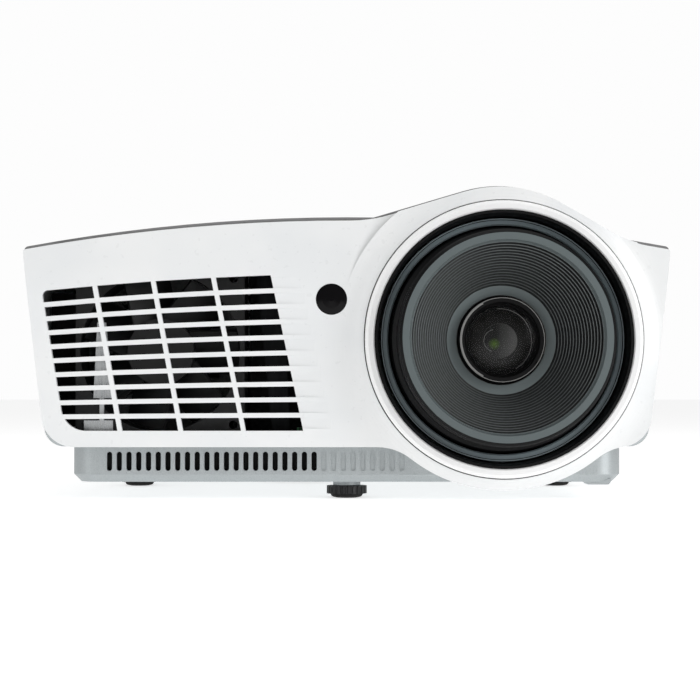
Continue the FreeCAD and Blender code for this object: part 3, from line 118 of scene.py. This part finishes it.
def mottle(tree, place, size_mm, low, high, detail=2.0):
    """Two colours or two numbers, mixed by soft noise of one size."""
    noise = add(tree, "ShaderNodeTexNoise", {"Vector": place, "Scale": per(size_mm), "Detail": detail})
    if isinstance(low, str):
        ramp = add(tree, "ShaderNodeValToRGB", {"Fac": (noise, "Fac")})
        ramp.color_ramp.elements[0].position, ramp.color_ramp.elements[1].position = 0.35, 0.65
        ramp.color_ramp.elements[0].color, ramp.color_ramp.elements[1].color = paint(low), paint(high)
        return ramp, "Color"
    spread = add(tree, "ShaderNodeMapRange", {"Value": (noise, "Fac"), "From Min": 0.3, "From Max": 0.7,
                                              "To Min": low, "To Max": high})
    return spread, "Result"


def grain(tree, shader, place, size_mm, height_mm, strength=0.5, detail=2.0):
    """Bumps of one size and height on the surface."""
    noise = add(tree, "ShaderNodeTexNoise", {"Vector": place, "Scale": per(size_mm), "Detail": detail})
    bump = add(tree, "ShaderNodeBump", {"Height": (noise, "Fac"), "Strength": strength,
                                        "Distance": height_mm * MM})
    link(tree, (bump, "Normal"), shader, "Normal")


def moulded(name, low, high, rough, grain_mm, height_mm, coat=0.0):
    """Injection-moulded plastic: near-even colour, slightly uneven gloss and a fine skin."""
    made, tree, shader, place = start(name, IOR=1.5, Coat_Weight=coat, Coat_Roughness=0.12)
    link(tree, mottle(tree, place, 35.0, low, high), shader, "Base Color")
    link(tree, mottle(tree, place, 2.5, rough - 0.03, rough + 0.04), shader, "Roughness")
    grain(tree, shader, place, grain_mm, height_mm)
    return made


def gloss_white_abs():
    """Moulded white ABS, polished tool: a soft gloss with the faintest orange peel."""
    return moulded("moulded gloss white ABS", "#eceeef", "#f2f3f3", 0.30, 1.6, 0.012, coat=0.25)


def white_abs_with_painted_shade_lip():
    """The same white ABS, with grey painted shade on the front lip that the cover tucks behind the bezel,
    where the lip lies in shade.
    """
    made = gloss_white_abs()
    made.name = "moulded white ABS with a painted shade lip"
    tree = made.node_tree
    place = add(tree, "ShaderNodeTexCoord")
    split = add(tree, "ShaderNodeSeparateXYZ", {"Vector": (place, "Object")})
    shade_lip_end = low_of("top_cover").y + 1.9 * MM
    inside = add(tree, "ShaderNodeMath", {0: (split, "Y"), 1: shade_lip_end}, operation="LESS_THAN")
    shader = tree.nodes["Principled BSDF"]
    white = shader.inputs["Base Color"].links[0].from_socket
    # painted shade: the cover's front lip, up to the lip's end, is grey instead of white
    tone = add(tree, "ShaderNodeMixRGB", {"Fac": (inside, "Value"), "Color2": paint("#7b7b7b")})
    tree.links.new(white, tone.inputs["Color1"])
    link(tree, (tone, "Color"), shader, "Base Color")
    return made


def silver_abs():
    """ABS sprayed with fine silver paint: flakes 0.35 mm apart give a soft metallic sparkle."""
    made, tree, shader, place = start("silver-painted ABS", Metallic=0.55, IOR=1.5)
    flakes = add(tree, "ShaderNodeTexVoronoi", {"Vector": place, "Scale": per(0.35)})
    tone = add(tree, "ShaderNodeMixRGB", {"Fac": (flakes, "Distance"), "Color1": paint("#bcc1c2"),
                                          "Color2": paint("#a5abad")})
    link(tree, (tone, "Color"), shader, "Base Color")
    link(tree, mottle(tree, place, 1.2, 0.36, 0.46), shader, "Roughness")
    bump = add(tree, "ShaderNodeBump", {"Height": (flakes, "Distance"), "Strength": 0.08,
                                        "Distance": 0.006 * MM})
    link(tree, (bump, "Normal"), shader, "Normal")
    return made


def satin_black_abs():
    """Black ABS from a spark-eroded tool: an even satin with a fine grain."""
    return moulded("spark-eroded black ABS", "#0c0c0d", "#121314", 0.48, 0.45, 0.02)


def key_grey_abs():
    """Moulded light grey ABS of the keys, slightly worn to a shine."""
    return moulded("moulded grey key ABS", "#a9afb2", "#b5babd", 0.38, 0.6, 0.012)


def panel_grey_abs():
    """Textured dark grey ABS of the rear panel."""
    return moulded("textured dark grey ABS", "#303336", "#383b3e", 0.55, 0.7, 0.04)


def from_axis(tree, place):
    """The distance of each point from the lens axis."""
    where = add(tree, "ShaderNodeSeparateXYZ", {"Vector": place})
    flat = add(tree, "ShaderNodeCombineXYZ", {"X": (where, "X"), "Z": (where, "Z")})
    axis = (lens.x, 0.0, lens.z)
    return add(tree, "ShaderNodeVectorMath", {0: (flat, "Vector"), 1: axis}, operation="DISTANCE")


def facing_forward(tree, least, full):
    """How far a face looks forward, from 0 at the least to 1 at the full share."""
    facing = add(tree, "ShaderNodeTexCoord")
    split = add(tree, "ShaderNodeSeparateXYZ", {"Vector": (facing, "Normal")})
    forward = add(tree, "ShaderNodeMath", {0: (split, "Y"), 1: -1.0}, operation="MULTIPLY")
    share = add(tree, "ShaderNodeMapRange", {"Value": (forward, "Value"), "From Min": least,
                                             "From Max": full})
    return share, "Result"


def zoom_ring_paint():
    """Satin blue-grey paint on the forward faces of the zoom ring, and black in its hollows."""
    made, tree, shader, place = start("satin zoom ring paint", IOR=1.5)
    forward = facing_forward(tree, 0.55, 0.9)
    tone = add(tree, "ShaderNodeMixRGB", {"Fac": forward, "Color1": paint("#0b0c0d"),
                                          "Color2": paint("#808d92")})
    link(tree, (tone, "Color"), shader, "Base Color")
    link(tree, mottle(tree, place, 1.5, 0.34, 0.42), shader, "Roughness")
    grain(tree, shader, place, 0.4, 0.01, 0.3)
    return made


def focus_ring_paint_with_painted_light():
    """Satin blue-grey paint on the rim and on the flat floor of the funnel. Between them
    the anti-glare steps are black, and the thin forward-facing crest of each has a pale painted
    highlight; a bump rounds the crests, so that they catch the light from the side that they lean to. The
    outside is satin black."""
    rim_outside, rim_inside, floor_outside, fade = 45.3 * MM, 41.3 * MM, 24.4 * MM, 0.1 * MM
    crest_lean = 2.6
    made, tree, shader, place = start("satin focus ring paint with painted highlights", IOR=1.5, Specular_IOR_Level=0.15)
    away = from_axis(tree, place)
    rim = add(tree, "ShaderNodeMapRange", {"Value": (away, "Value"), "From Min": rim_inside - fade,
                                           "From Max": rim_inside + fade})
    floor = add(tree, "ShaderNodeMapRange", {"Value": (away, "Value"), "From Min": floor_outside + fade,
                                             "From Max": floor_outside - fade})
    plain = add(tree, "ShaderNodeMath", {0: (rim, "Result"), 1: (floor, "Result")}, operation="MAXIMUM")
    outside = add(tree, "ShaderNodeMath", {0: (away, "Value"), 1: rim_outside}, operation="GREATER_THAN")
    forward = facing_forward(tree, 0.75, 0.97)
    # painted highlight: faces that look forward get pale grey, the rest of the steps black
    crest = add(tree, "ShaderNodeMixRGB", {"Fac": forward, "Color1": paint("#040405"),
                                           "Color2": paint("#8f9494")})
    flat = add(tree, "ShaderNodeMixRGB", {"Fac": (floor, "Result"), "Color1": paint("#606869"),
                                          "Color2": paint("#808a8b")})
    painted_light_steps_or_paint = add(tree, "ShaderNodeMixRGB", {"Fac": (plain, "Value"), "Color1": (crest, "Color"),
                                          "Color2": (flat, "Color")})
    whole = add(tree, "ShaderNodeMixRGB", {"Fac": (outside, "Value"), "Color1": (painted_light_steps_or_paint, "Color"),
                                           "Color2": paint("#0c0d0e")})
    link(tree, (whole, "Color"), shader, "Base Color")
    link(tree, mottle(tree, place, 1.5, 0.32, 0.4), shader, "Roughness")
    lean = add(tree, "ShaderNodeMath", {0: (away, "Value"), 1: crest_lean}, operation="MULTIPLY")
    only = add(tree, "ShaderNodeMath", {0: 1.0, 1: (plain, "Value")}, operation="SUBTRACT")
    round_edge = add(tree, "ShaderNodeBump", {"Height": (lean, "Value"), "Strength": (only, "Value"),
                                              "Distance": 1.0})
    link(tree, (round_edge, "Normal"), shader, "Normal")
    return made


def flock_black():
    """Matt black lacquer inside the lens, which swallows stray light."""
    made = moulded("matt black lacquer", "#070708", "#0b0b0c", 0.62, 0.3, 0.01)
    made.node_tree.nodes["Principled BSDF"].inputs["Specular IOR Level"].default_value = 0.2
    return made


def lens_glass():
    """Optical glass with a good anti-reflection coating: clear, with only a thin, cool reflection."""
    made, tree, shader, place = start("coated optical glass", IOR=1.5, Roughness=0.16, Alpha=0.1)
    link(tree, mottle(tree, place, 12.0, "#0b1010", "#0e1312"), shader, "Base Color")
    return made


def deep_glass():
    """A lens element deep in the black barrel: dark, with a broad and weak sheen."""
    made, tree, shader, place = start("black-backed optical glass", IOR=1.45)
    link(tree, mottle(tree, place, 9.0, "#0b0a09", "#12110f"), shader, "Base Color")
    link(tree, mottle(tree, place, 6.0, 0.3, 0.34), shader, "Roughness")
    return made


def rear_glass_with_painted_reflections():
    """The rear element, with painted reflections in its colour: an olive green spot that fades
    out over a few millimetres, and a grey bloom at its right, to which the nearly black glass turns."""
    made, tree, shader, place = start("rear optical glass with painted reflections", IOR=1.45, Roughness=0.3)
    # painted reflection: the centre of the olive spot
    spot = (lens.x - 2.6 * MM, 0.0, lens.z - 1.5 * MM)
    split = add(tree, "ShaderNodeSeparateXYZ", {"Vector": place})
    # painted reflection: the grey bloom grows towards the right
    bloom = add(tree, "ShaderNodeMapRange", {"Value": (split, "X"), "From Min": lens.x - 2.0 * MM,
                                             "From Max": lens.x + 6.5 * MM})
    dark = add(tree, "ShaderNodeMixRGB", {"Fac": (bloom, "Result"), "Color1": paint("#1a1a1a"),
                                          "Color2": paint("#6c6c6b")})
    flat = add(tree, "ShaderNodeCombineXYZ", {"X": (split, "X"), "Z": (split, "Z")})
    away = add(tree, "ShaderNodeVectorMath", {0: (flat, "Vector"), 1: spot}, operation="DISTANCE")
    share = add(tree, "ShaderNodeMapRange", {"Value": (away, "Value"), "From Min": 0.2 * MM,
                                             "From Max": 2.9 * MM})
    tone = add(tree, "ShaderNodeMixRGB", {"Fac": (share, "Result"), "Color1": paint("#587a1c"),
                                          "Color2": (dark, "Color")})
    link(tree, (tone, "Color"), shader, "Base Color")
    grain(tree, shader, place, 3.0, 0.002, 0.1)
    return made


def filter_plastic():
    """Infrared filter plastic: polished, almost black, with a violet depth."""
    made = moulded("polished infrared filter", "#030204", "#040305", 0.14, 3.0, 0.002)
    made.node_tree.nodes["Principled BSDF"].inputs["Specular IOR Level"].default_value = 0.18
    return made


def nylon_black():
    """Glass-filled black nylon of the foot wheels."""
    return moulded("black nylon", "#0d0d0e", "#151516", 0.42, 0.5, 0.03)


def foot_rubber():
    """Moulded rubber pad, matt and slightly dusty."""
    return moulded("moulded rubber", "#0b0b0b", "#181817", 0.75, 0.8, 0.05)


def metal(name, low, high, rough, lay_mm, stretch=(1.0, 1.0, 1.0)):
    """Bare or plated metal with its grain drawn out along one way."""
    made, tree, shader, place = start(name, Metallic=1.0)
    drawn = add(tree, "ShaderNodeMapping", {"Vector": place, "Scale": stretch})
    lay = (drawn, "Vector")
    link(tree, mottle(tree, lay, lay_mm, low, high, 3.0), shader, "Base Color")
    link(tree, mottle(tree, lay, lay_mm, rough - 0.06, rough + 0.08, 3.0), shader, "Roughness")
    grain(tree, shader, lay, lay_mm, 0.01, 0.4, 3.0)
    return made


def circuit_board():
    """Glass-epoxy board under green solder mask, with copper tracks that show through it."""
    made, tree, shader, place = start("solder-masked epoxy board", IOR=1.5, Coat_Weight=0.4,
                                      Coat_Roughness=0.2)
    tracks = add(tree, "ShaderNodeTexBrick", {"Vector": place, "Scale": per(9.0), "Mortar Size": 0.04,
                                              "Color1": paint("#0f4a2c"), "Color2": paint("#12532f"),
                                              "Mortar": paint("#2c7a45")})
    link(tree, (tracks, "Color"), shader, "Base Color")
    link(tree, mottle(tree, place, 3.0, 0.34, 0.44), shader, "Roughness")
    bump = add(tree, "ShaderNodeBump", {"Height": (tracks, "Fac"), "Strength": 0.4, "Distance": 0.04 * MM})
    link(tree, (bump, "Normal"), shader, "Normal")
    return made


def wheel_segments():
    """Dichroic glass wheel: red, green, blue and clear segments round its axle."""
    made, tree, shader, place = start("dichroic glass", Metallic=0.6, Roughness=0.08, Coat_Weight=0.5)
    hub = middle("color_wheel")
    centred = add(tree, "ShaderNodeMapping", {"Vector": place, "Location": tuple(-hub)})
    split = add(tree, "ShaderNodeSeparateXYZ", {"Vector": (centred, "Vector")})
    angle = add(tree, "ShaderNodeMath", {0: (split, "Z"), 1: (split, "Y")}, operation="ARCTAN2")
    turn = add(tree, "ShaderNodeMapRange", {"Value": (angle, "Value"), "From Min": -math.pi,
                                            "From Max": math.pi})
    ramp = add(tree, "ShaderNodeValToRGB", {"Fac": (turn, "Result")})
    ramp.color_ramp.interpolation = "CONSTANT"
    stops = [(0.0, "#c7331f"), (0.3, "#2f9e3f"), (0.6, "#2b4fc4"), (0.85, "#d9dde0")]
    while len(ramp.color_ramp.elements) < len(stops):
        ramp.color_ramp.elements.new(1.0)
    for element, (position, colour) in zip(ramp.color_ramp.elements, stops):
        element.position, element.color = position, paint(colour)
    link(tree, (ramp, "Color"), shader, "Base Color")
    return made


def quartz():
    """Fused quartz of the lamp's burner."""
    made, tree, shader, place = start("fused quartz", IOR=1.46, Transmission_Weight=0.9, Roughness=0.05)
    link(tree, mottle(tree, place, 5.0, "#f4f4f2", "#e8ebee"), shader, "Base Color")
    return made


def printed_ink(name, tone):
    """Pad-printed ink, a little duller than the plastic under it."""
    return moulded(name, tone, tone, 0.5, 0.5, 0.005)


def dress_nodes():
    """Gives every carried-over part its material."""
    white, silver, black = gloss_white_abs(), silver_abs(), satin_black_abs()
    bright = moulded("painted pure white ABS", "#fbfbfb", "#ffffff", 0.24, 1.6, 0.008, coat=0.3)
    ring, wide_ring = focus_ring_paint_with_painted_light(), zoom_ring_paint()
    lacquer, nylon, rubber = flock_black(), nylon_black(), foot_rubber()
    alloy = metal("cast aluminium", "#8f9294", "#a9acad", 0.48, 1.5)
    zinc = metal("zinc-plated steel", "#b9bcbe", "#d3d5d6", 0.28, 0.8, (1.0, 1.0, 0.1))
    screw = metal("black zinc screws", "#2a2a2b", "#3a3a3b", 0.36, 0.5)
    brass = metal("turned brass", "#a8843c", "#c19a4c", 0.3, 0.6)
    board, key, glass = circuit_board(), key_grey_abs(), lens_glass()
    chosen = {
        white: ["front_bezel", "lamp_door"],
        white_abs_with_painted_shade_lip(): ["top_cover"],
        bright: ["lens_trim_ring"],
        silver: ["bottom_case"],
        black: ["exhaust_fan_frame", "exhaust_fan_rotor", "blower_housing", "blower_rotor",
                "power_inlet", "audio_jacks", "speaker"],
        ring: ["focus_ring"],
        wide_ring: ["zoom_ring"],
        lacquer: ["lens_shroud", "front_lens_cell", "zoom_lens_cell", "lens_barrel"],
        glass: ["front_lens", "relay_lens", "zoom_lens"],
        filter_plastic(): ["ir_window"],
        nylon: [f"{foot}_foot_wheel" for foot in FEET],
        rubber: [f"{foot}_foot_pad" for foot in FEET],
        key: [f"{button}_button" for button in BUTTONS],
        panel_grey_abs(): ["rear_panel"],
        board: ["main_board", "power_supply", "lamp_ballast", "dmd_board", "keypad_board", "ir_receiver"],
        alloy: ["engine_housing", "light_tunnel", "dmd_heat_sink"],
        zinc: ["fan_bracket", "lamp_handle", "color_wheel_motor", "video_connectors"],
        metal("lamp cage steel", "#6d6e6e", "#7c7d7d", 0.45, 1.0): ["lamp_housing"],
        metal("silvered reflector glass", "#dfe2e6", "#eceef0", 0.08, 8.0): ["lamp_reflector"],
        quartz(): ["lamp_burner"],
        wheel_segments(): ["color_wheel"],
        screw: ["board_screws", "case_screws", "lamp_door_screw"],
        brass: ["foot_inserts"],
        moulded("frosted light guide", "#cfd8de", "#dde4e8", 0.3, 0.5, 0.02): ["indicator_lenses"],
    }
    for finish, nodes in chosen.items():
        for name in nodes:
            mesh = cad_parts[name].data
            mesh.materials.clear()
            mesh.materials.append(finish)
    return {"black": black, "glass": glass}


# ---------------------------------------------------------------- mesh helpers


def piece(name, bm, finish, body, smooth=True):
    """Makes an object of a bmesh, with a finish, that rides on a body."""
    bmesh.ops.remove_doubles(bm, verts=bm.verts, dist=1e-7)
    bmesh.ops.recalc_face_normals(bm, faces=bm.faces)
    mesh = bpy.data.meshes.new(name)
    bm.to_mesh(mesh)
    bm.free()
    mesh.materials.append(finish)
    made = bpy.data.objects.new(name, mesh)
    bpy.context.collection.objects.link(made)
    if smooth:
        mesh.shade_smooth()
        mesh.set_sharp_from_angle(angle=math.radians(35))
    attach(made, body)
    return made


def spun(bm, profile, centre, steps=96):
    """Spins a profile of (radius, place along Y) points, in millimetres, about a line along Y."""
    across, along = Vector((1, 0, 0)), Vector((0, 1, 0))
    points = [bm.verts.new(centre + across * r * MM + along * a * MM) for r, a in profile]
    edges = [bm.edges.new(pair) for pair in zip(points, points[1:])]
    bmesh.ops.spin(bm, geom=points + edges, cent=centre, axis=along, angle=math.tau, steps=steps,
                   use_merge=True)


def dome(radius, rise):
    """A smooth profile from the axis to the edge. A positive rise bulges forwards."""
    steps = 14
    return [(radius * i / steps, -rise * (1 - (i / steps) ** 2)) for i in range(steps + 1)]


# ---------------------------------------------------------------- lens


def lens_element(name, radius, rise, thickness, front, finish, body, back_rise=-1.0):
    """A ground lens element whose front vertex stands at a place along the lens axis."""
    bm = bmesh.new()
    face = [(r, a + rise) for r, a in dome(radius, rise)]
    back = [(r, thickness + rise - back_rise - a) for r, a in reversed(dome(radius, -back_rise))]
    spun(bm, face + back, Vector((lens.x, front, lens.z)))
    return piece(name, bm, finish, body)


def thin_ring(name, radius, y, wire, finish, body, start=0.0, sweep=360.0, shift=0.0):
    """A fine round wire about the lens axis, or a part of one, at a place along the axis."""
    bm = bmesh.new()
    centre = Vector((lens.x + shift * MM, y, lens.z))
    turn = Matrix.Rotation(math.radians(start), 3, "Y")
    edge = centre + turn @ Vector((radius * MM, 0, 0))
    across = turn @ Vector((1, 0, 0))
    loop = [bm.verts.new(edge + (across * math.cos(a) + Vector((0, 1, 0)) * math.sin(a)) * wire * MM)
            for a in (math.tau * i / 8 for i in range(8))]
    edges = [bm.edges.new(pair) for pair in zip(loop, loop[1:] + loop[:1])]
    whole = sweep >= 360
    if not whole:
        bm.faces.new(loop)
    bmesh.ops.spin(bm, geom=loop + edges, cent=centre, axis=(0, 1, 0), angle=math.radians(sweep),
                   steps=max(12, int(sweep / 3)), use_merge=whole)
    if not whole:
        bmesh.ops.holes_fill(bm, edges=bm.edges, sides=8)
    return piece(name, bm, finish, body)


def lens_elements(finishes):
    """The glass that shows through the front of the lens, with painted highlights on the edges of its
    seats: thin pale wires, some only part rings, that stand for the stretch of each edge that catches the
    light.
    """
    front_y = cell_front - 0.8 * MM
    front = lens_element("front_glass", 17.2, 3.3, 7.0, front_y, finishes["glass"], "front_cell")
    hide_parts("front_lens")
    deep = deep_glass()
    second_y = cell_front + 12.4 * MM
    lens_element("second_glass", 13.9, 1.6, 2.4, second_y, deep, "front_cell", 0.4)
    # painted highlights: the pale and faint wires below stand for light caught by edges; the part rings
    # cover only the lit stretch
    edge = moulded("pale painted highlight on the black anodising", "#8b8b89", "#989896", 0.5, 0.5, 0.005)
    faint_edge_highlight = moulded("faint painted highlight on the black anodising", "#3a3a39", "#454544", 0.5, 0.5, 0.005)
    thin_ring("second_glass_edge", 14.2, second_y + 1.3 * MM, 0.15, faint_edge_highlight, "front_cell")
    thin_ring("second_glass_bevel_highlight", 14.5, second_y + 1.1 * MM, 0.2, edge, "front_cell", -95.0, 155.0)
    thin_ring("retainer_edge", 18.75, cell_front + 0.02 * MM, 0.2, edge, "front_cell")
    thin_ring("retainer_land_highlight", 18.3, cell_front + 0.2 * MM, 0.42, edge, "front_cell", 118.0, 124.0)
    thin_ring("throat_bevel_highlight", 19.95, cell_front + 5.35 * MM, 0.16, edge, "focus_ring", -62.0, 80.0)
    thin_ring("throat_edge", 20.05, cell_front + 5.45 * MM, 0.14, faint_edge_highlight, "focus_ring")
    third_y = second_y - 0.3 * MM
    lens_element("third_glass", 7.8, 0.9, 1.4, third_y - 0.2 * MM, rear_glass_with_painted_reflections(), "front_cell", 0.2)
    thin_ring("third_glass_edge", 7.9, third_y + 0.75 * MM, 0.13, faint_edge_highlight, "front_cell")
    thin_ring("iris_edge_highlight", 5.0, third_y - 0.25 * MM, 0.17, edge, "front_cell", 105.0, 155.0, -2.3)
    rear = lens_element("zoom_glass", 8.7, 3.0, 6.0, zoom_front + 0.5 * MM, deep, "zoom_cell")
    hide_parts("zoom_lens")


# ---------------------------------------------------------------- painted shade in the trim gap, keys, sockets and baffles


def trim_gap_shade(foam):
    """A black cord at the bottom of the open line round the trim ring: painted shade that stands for the
    shadow in that gap.
    """
    low, high = low_of("lens_trim_ring"), high_of("lens_trim_ring")
    ring_radius = (high.x - low.x) / 2 / MM
    off_ring, off_back, cord = 0.24, 0.22, 0.2
    # painted shade: the dark cord sits in the gap round the trim ring
    thin_ring("trim_gap_shade", ring_radius + off_ring, high.y - off_back * MM, cord, foam, "body")


def bar(bm, centre, size):
    """A small block by its middle and its sizes in millimetres."""
    place = Matrix.Translation(centre) @ Matrix.Diagonal((*[v * MM for v in size], 1.0))
    bmesh.ops.create_cube(bm, size=1.0, matrix=place)


def ink_ring(bm, centre, inner, outer, degrees=360.0, start=0.0):
    """A flat printed ring, or a part of one, that lies level."""
    turn = Matrix.Rotation(math.radians(start), 3, "Z")
    corners = [(inner, 0.0), (outer, 0.0), (outer, 0.08), (inner, 0.08)]
    places = [centre + turn @ Vector((r * MM, 0, 0)) + Vector((0, 0, h * MM)) for r, h in corners]
    loop = [bm.verts.new(place) for place in places]
    whole = degrees >= 360
    edges = [bm.edges.new(pair) for pair in zip(loop, loop[1:] + loop[:1])]
    ends = [] if whole else [bm.faces.new(loop)]
    made = bmesh.ops.spin(bm, geom=loop + edges, cent=centre, axis=(0, 0, 1), angle=math.radians(degrees),
                          steps=max(16, int(degrees / 6)), use_merge=whole)
    if ends:
        last = [v for v in made["geom_last"] if isinstance(v, bmesh.types.BMVert)]
        bmesh.ops.contextual_create(bm, geom=last)


def ink_arrow(bm, centre, radius, degrees):
    """A flat printed arrowhead that points the given way."""
    place = Matrix.Translation(centre) @ Matrix.Rotation(math.radians(degrees - 90), 4, "Z")
    made = bmesh.ops.create_circle(bm, cap_ends=True, segments=3, radius=radius * MM, matrix=place)
    faces = {f for v in made["verts"] for f in v.link_faces}
    raised = bmesh.ops.extrude_face_region(bm, geom=list(faces))
    tops = [v for v in raised["geom"] if isinstance(v, bmesh.types.BMVert)]
    bmesh.ops.translate(bm, verts=tops, vec=(0, 0, 0.08 * MM))


def key_symbols():
    """Plain printed signs on the keys."""
    ink = printed_ink("dark grey pad-printed ink", "#3c4144")
    ways = {"up": 90, "down": -90, "left": 180, "right": 0}
    for button in BUTTONS:
        node = f"{button}_button"
        top = middle(node)
        top.z = high_of(node).z - 0.03 * MM
        bm = bmesh.new()
        if button in ways:
            ink_arrow(bm, top, 1.9, ways[button])
        elif button == "enter":
            ink_ring(bm, top, 2.3, 2.8)
        elif button == "power":
            ink_ring(bm, top, 1.9, 2.3, 280.0, 130.0)
            bar(bm, top + Vector((0, 1.9, 0.04)) * MM, (0.45, 1.8, 0.08))
        elif button == "menu":
            for row in (-1.1, 0.0, 1.1):
                bar(bm, top + Vector((0, row, 0.04)) * MM, (3.4, 0.45, 0.08))
        else:
            ink_arrow(bm, top + Vector((-0.7, 0, 0)) * MM, 1.3, 0)
            bar(bm, top + Vector((1.7, 0, 0.04)) * MM, (0.5, 3.6, 0.08))
        piece(f"{button}_symbol", bm, ink, node, smooth=False)


def socket_rings():
    """Coloured plastic rings on the round sockets."""
    video_high = high_of("video_connectors")
    audio_low, audio_high = low_of("audio_jacks"), high_of("audio_jacks")
    below_top, video_side, audio_side = 6.0 * MM, 5.0 * MM, 4.5 * MM
    height = audio_high.z - below_top
    rings = [
        ("yellow", "#d8b21c", video_high.x - video_side, video_high.y, 3.9),
        ("blue", "#3f73b5", audio_low.x + audio_side, audio_high.y, 3.1),
        ("green", "#5d9d4c", audio_high.x - audio_side, audio_high.y, 3.1),
    ]
    for name, tone, x, y, radius in rings:
        bm = bmesh.new()
        profile = [(radius - 1.3, -0.1), (radius, -0.1), (radius - 0.15, 0.22), (radius - 1.1, 0.22)]
        profile.append(profile[0])
        spun(bm, profile, Vector((x, y, height)), steps=48)
        piece(f"{name}_socket_ring", bm, moulded(f"moulded {name} PVC", tone, tone, 0.4, 0.6, 0.01), "body")


def intake_foam(foam):
    """Black foam behind the intake slots in the front of the pan."""
    size, from_corner = (102.0, 3.6, 12.6), Vector((77.19, 9.8, 12.0))
    bm = bmesh.new()
    bar(bm, low_of("bottom_case") + from_corner * MM, size)
    piece("intake_foam", bm, foam, "body", smooth=False)


def duct(foam):
    """Foam at both sides of the exhaust fan and a tapered sheet at its right, behind the grille."""
    fan_low, fan_high = low_of("exhaust_fan_frame"), high_of("exhaust_fan_frame")
    behind_fan, sheet_ahead, sheet_thick = 1.6, 3.0, 0.8
    right_size, right_gap, right_lift = (50.0, 1.2, 79.0), 1.0, 0.3
    left_size, left_gap, left_lift = (13.0, 1.2, 62.0), 2.5, 3.8
    wall_y = fan_high.y + behind_fan * MM
    right_x = fan_high.x + (right_gap + right_size[0] / 2) * MM
    right_z = fan_low.z + (right_lift + right_size[2] / 2) * MM
    left_x = fan_low.x - (left_gap + left_size[0] / 2) * MM
    left_z = fan_low.z + (left_lift + left_size[2] / 2) * MM
    bm = bmesh.new()
    bar(bm, Vector((right_x, wall_y, right_z)), right_size)
    bar(bm, Vector((left_x, wall_y, left_z)), left_size)
    piece("duct_foam", bm, foam, "body", smooth=False)
    sheet = metal("dark phosphated sheet", "#1d1e1f", "#2b2c2d", 0.4, 6.0, (1.0, 1.0, 0.2))
    corner = Vector((fan_high.x, wall_y - sheet_ahead * MM, fan_low.z))
    outline = [(3.5, 78.3), (16.5, 78.3), (19.5, 2.3), (11.5, 2.3)]
    bm = bmesh.new()
    face = bm.faces.new([bm.verts.new(corner + Vector((x, 0, z)) * MM) for x, z in outline])
    bmesh.ops.solidify(bm, geom=[face], thickness=sheet_thick * MM)
    piece("duct_sheet", bm, sheet, "body", smooth=False)


def baffles():
    """Black foam and sheet that close the view through the slots to the inside."""
    foam = moulded("open-cell black foam", "#060606", "#0e0e0e", 0.95, 0.7, 0.25)
    intake_foam(foam)
    duct(foam)


# ---------------------------------------------------------------- stage, light and camera


def stage():
    """A plain pale floor, which the camera sees nearly as white as the studio."""
    bm = bmesh.new()
    bmesh.ops.create_grid(bm, x_segments=1, y_segments=1, size=30.0)
    mesh = bpy.data.meshes.new("floor")
    bm.to_mesh(mesh)
    bm.free()
    made, tree, shader, place = start("matt studio paper", Roughness=0.9)
    ray = add(tree, "ShaderNodeLightPath")
    glow = add(tree, "ShaderNodeMapRange", {"Value": (ray, "Is Camera Ray"), "To Min": 0.5,
                                            "To Max": 0.615})
    link(tree, (glow, "Result"), shader, "Emission Strength")
    shader.inputs["Emission Color"].default_value = paint("#ffffff")
    link(tree, mottle(tree, place, 300.0, "#f7f7f7", "#f9f9f9"), shader, "Base Color")
    mesh.materials.append(made)
    floor = bpy.data.objects.new("floor", mesh)
    bpy.context.collection.objects.link(floor)


def softbox(name, place, aim, width, height, watts):
    """A rectangular soft light that faces the aim, with sizes in metres."""
    lamp = bpy.data.lights.new(name, "AREA")
    lamp.shape, lamp.size, lamp.size_y, lamp.energy = "RECTANGLE", width, height, watts
    made = bpy.data.objects.new(name, lamp)
    made.location = place
    made.rotation_euler = (Vector(aim) - Vector(place)).to_track_quat("-Z", "Y").to_euler()
    bpy.context.collection.objects.link(made)


def lights():
    """A large soft light at the right, a weaker one at the left and one above, in a white studio."""
    aim = (0.02, -0.05, 0.07)
    softbox("right_softbox", (1.25, -1.15, 0.5), aim, 0.9, 1.0, 11.5)
    softbox("left_softbox", (-1.2, -1.1, 0.45), aim, 0.8, 1.0, 2.6)
    softbox("top_softbox", (0.0, -0.2, 1.5), aim, 1.6, 1.2, 5)
    world = bpy.data.worlds.new("studio")
    world.use_nodes = True
    tree = world.node_tree
    light = tree.nodes["Background"]
    light.inputs["Color"].default_value = paint("#ffffff")
    light.inputs["Strength"].default_value = 0.32
    seen = add(tree, "ShaderNodeBackground", {"Color": paint("#fdfdfd"), "Strength": 1.0})
    ray = add(tree, "ShaderNodeLightPath")
    mix = add(tree, "ShaderNodeMixShader", {"Fac": (ray, "Is Camera Ray")})
    tree.links.new(light.outputs["Background"], mix.inputs[1])
    tree.links.new(seen.outputs["Background"], mix.inputs[2])
    tree.links.new(mix.outputs["Shader"], tree.nodes["World Output"].inputs["Surface"])
    bpy.context.scene.world = world
    bpy.context.scene.view_settings.view_transform = "Standard"


def camera():
    """Level with the lower half of the front, 0.75 m ahead of it, and tilted up a little."""
    across, ahead, eye, target = 0.0015, 0.75, 0.0462, 0.067
    lens_mm, sensor = 87.3, 36.0
    cam = bpy.data.cameras.new("camera")
    cam.lens, cam.sensor_width = lens_mm, sensor
    made = bpy.data.objects.new("camera", cam)
    made.location = (across, face_y - ahead, eye)
    look = Vector((across, face_y, target)) - made.location
    made.rotation_euler = look.to_track_quat("-Z", "Y").to_euler()
    bpy.context.collection.objects.link(made)
    bpy.context.scene.camera = made


# ---------------------------------------------------------------- build
finishes = dress_nodes()
lens_elements(finishes)
# painted shade in the gap round the trim ring
trim_gap_shade(finishes["black"])
key_symbols()
socket_rings()
baffles()
stage()
lights()
camera()
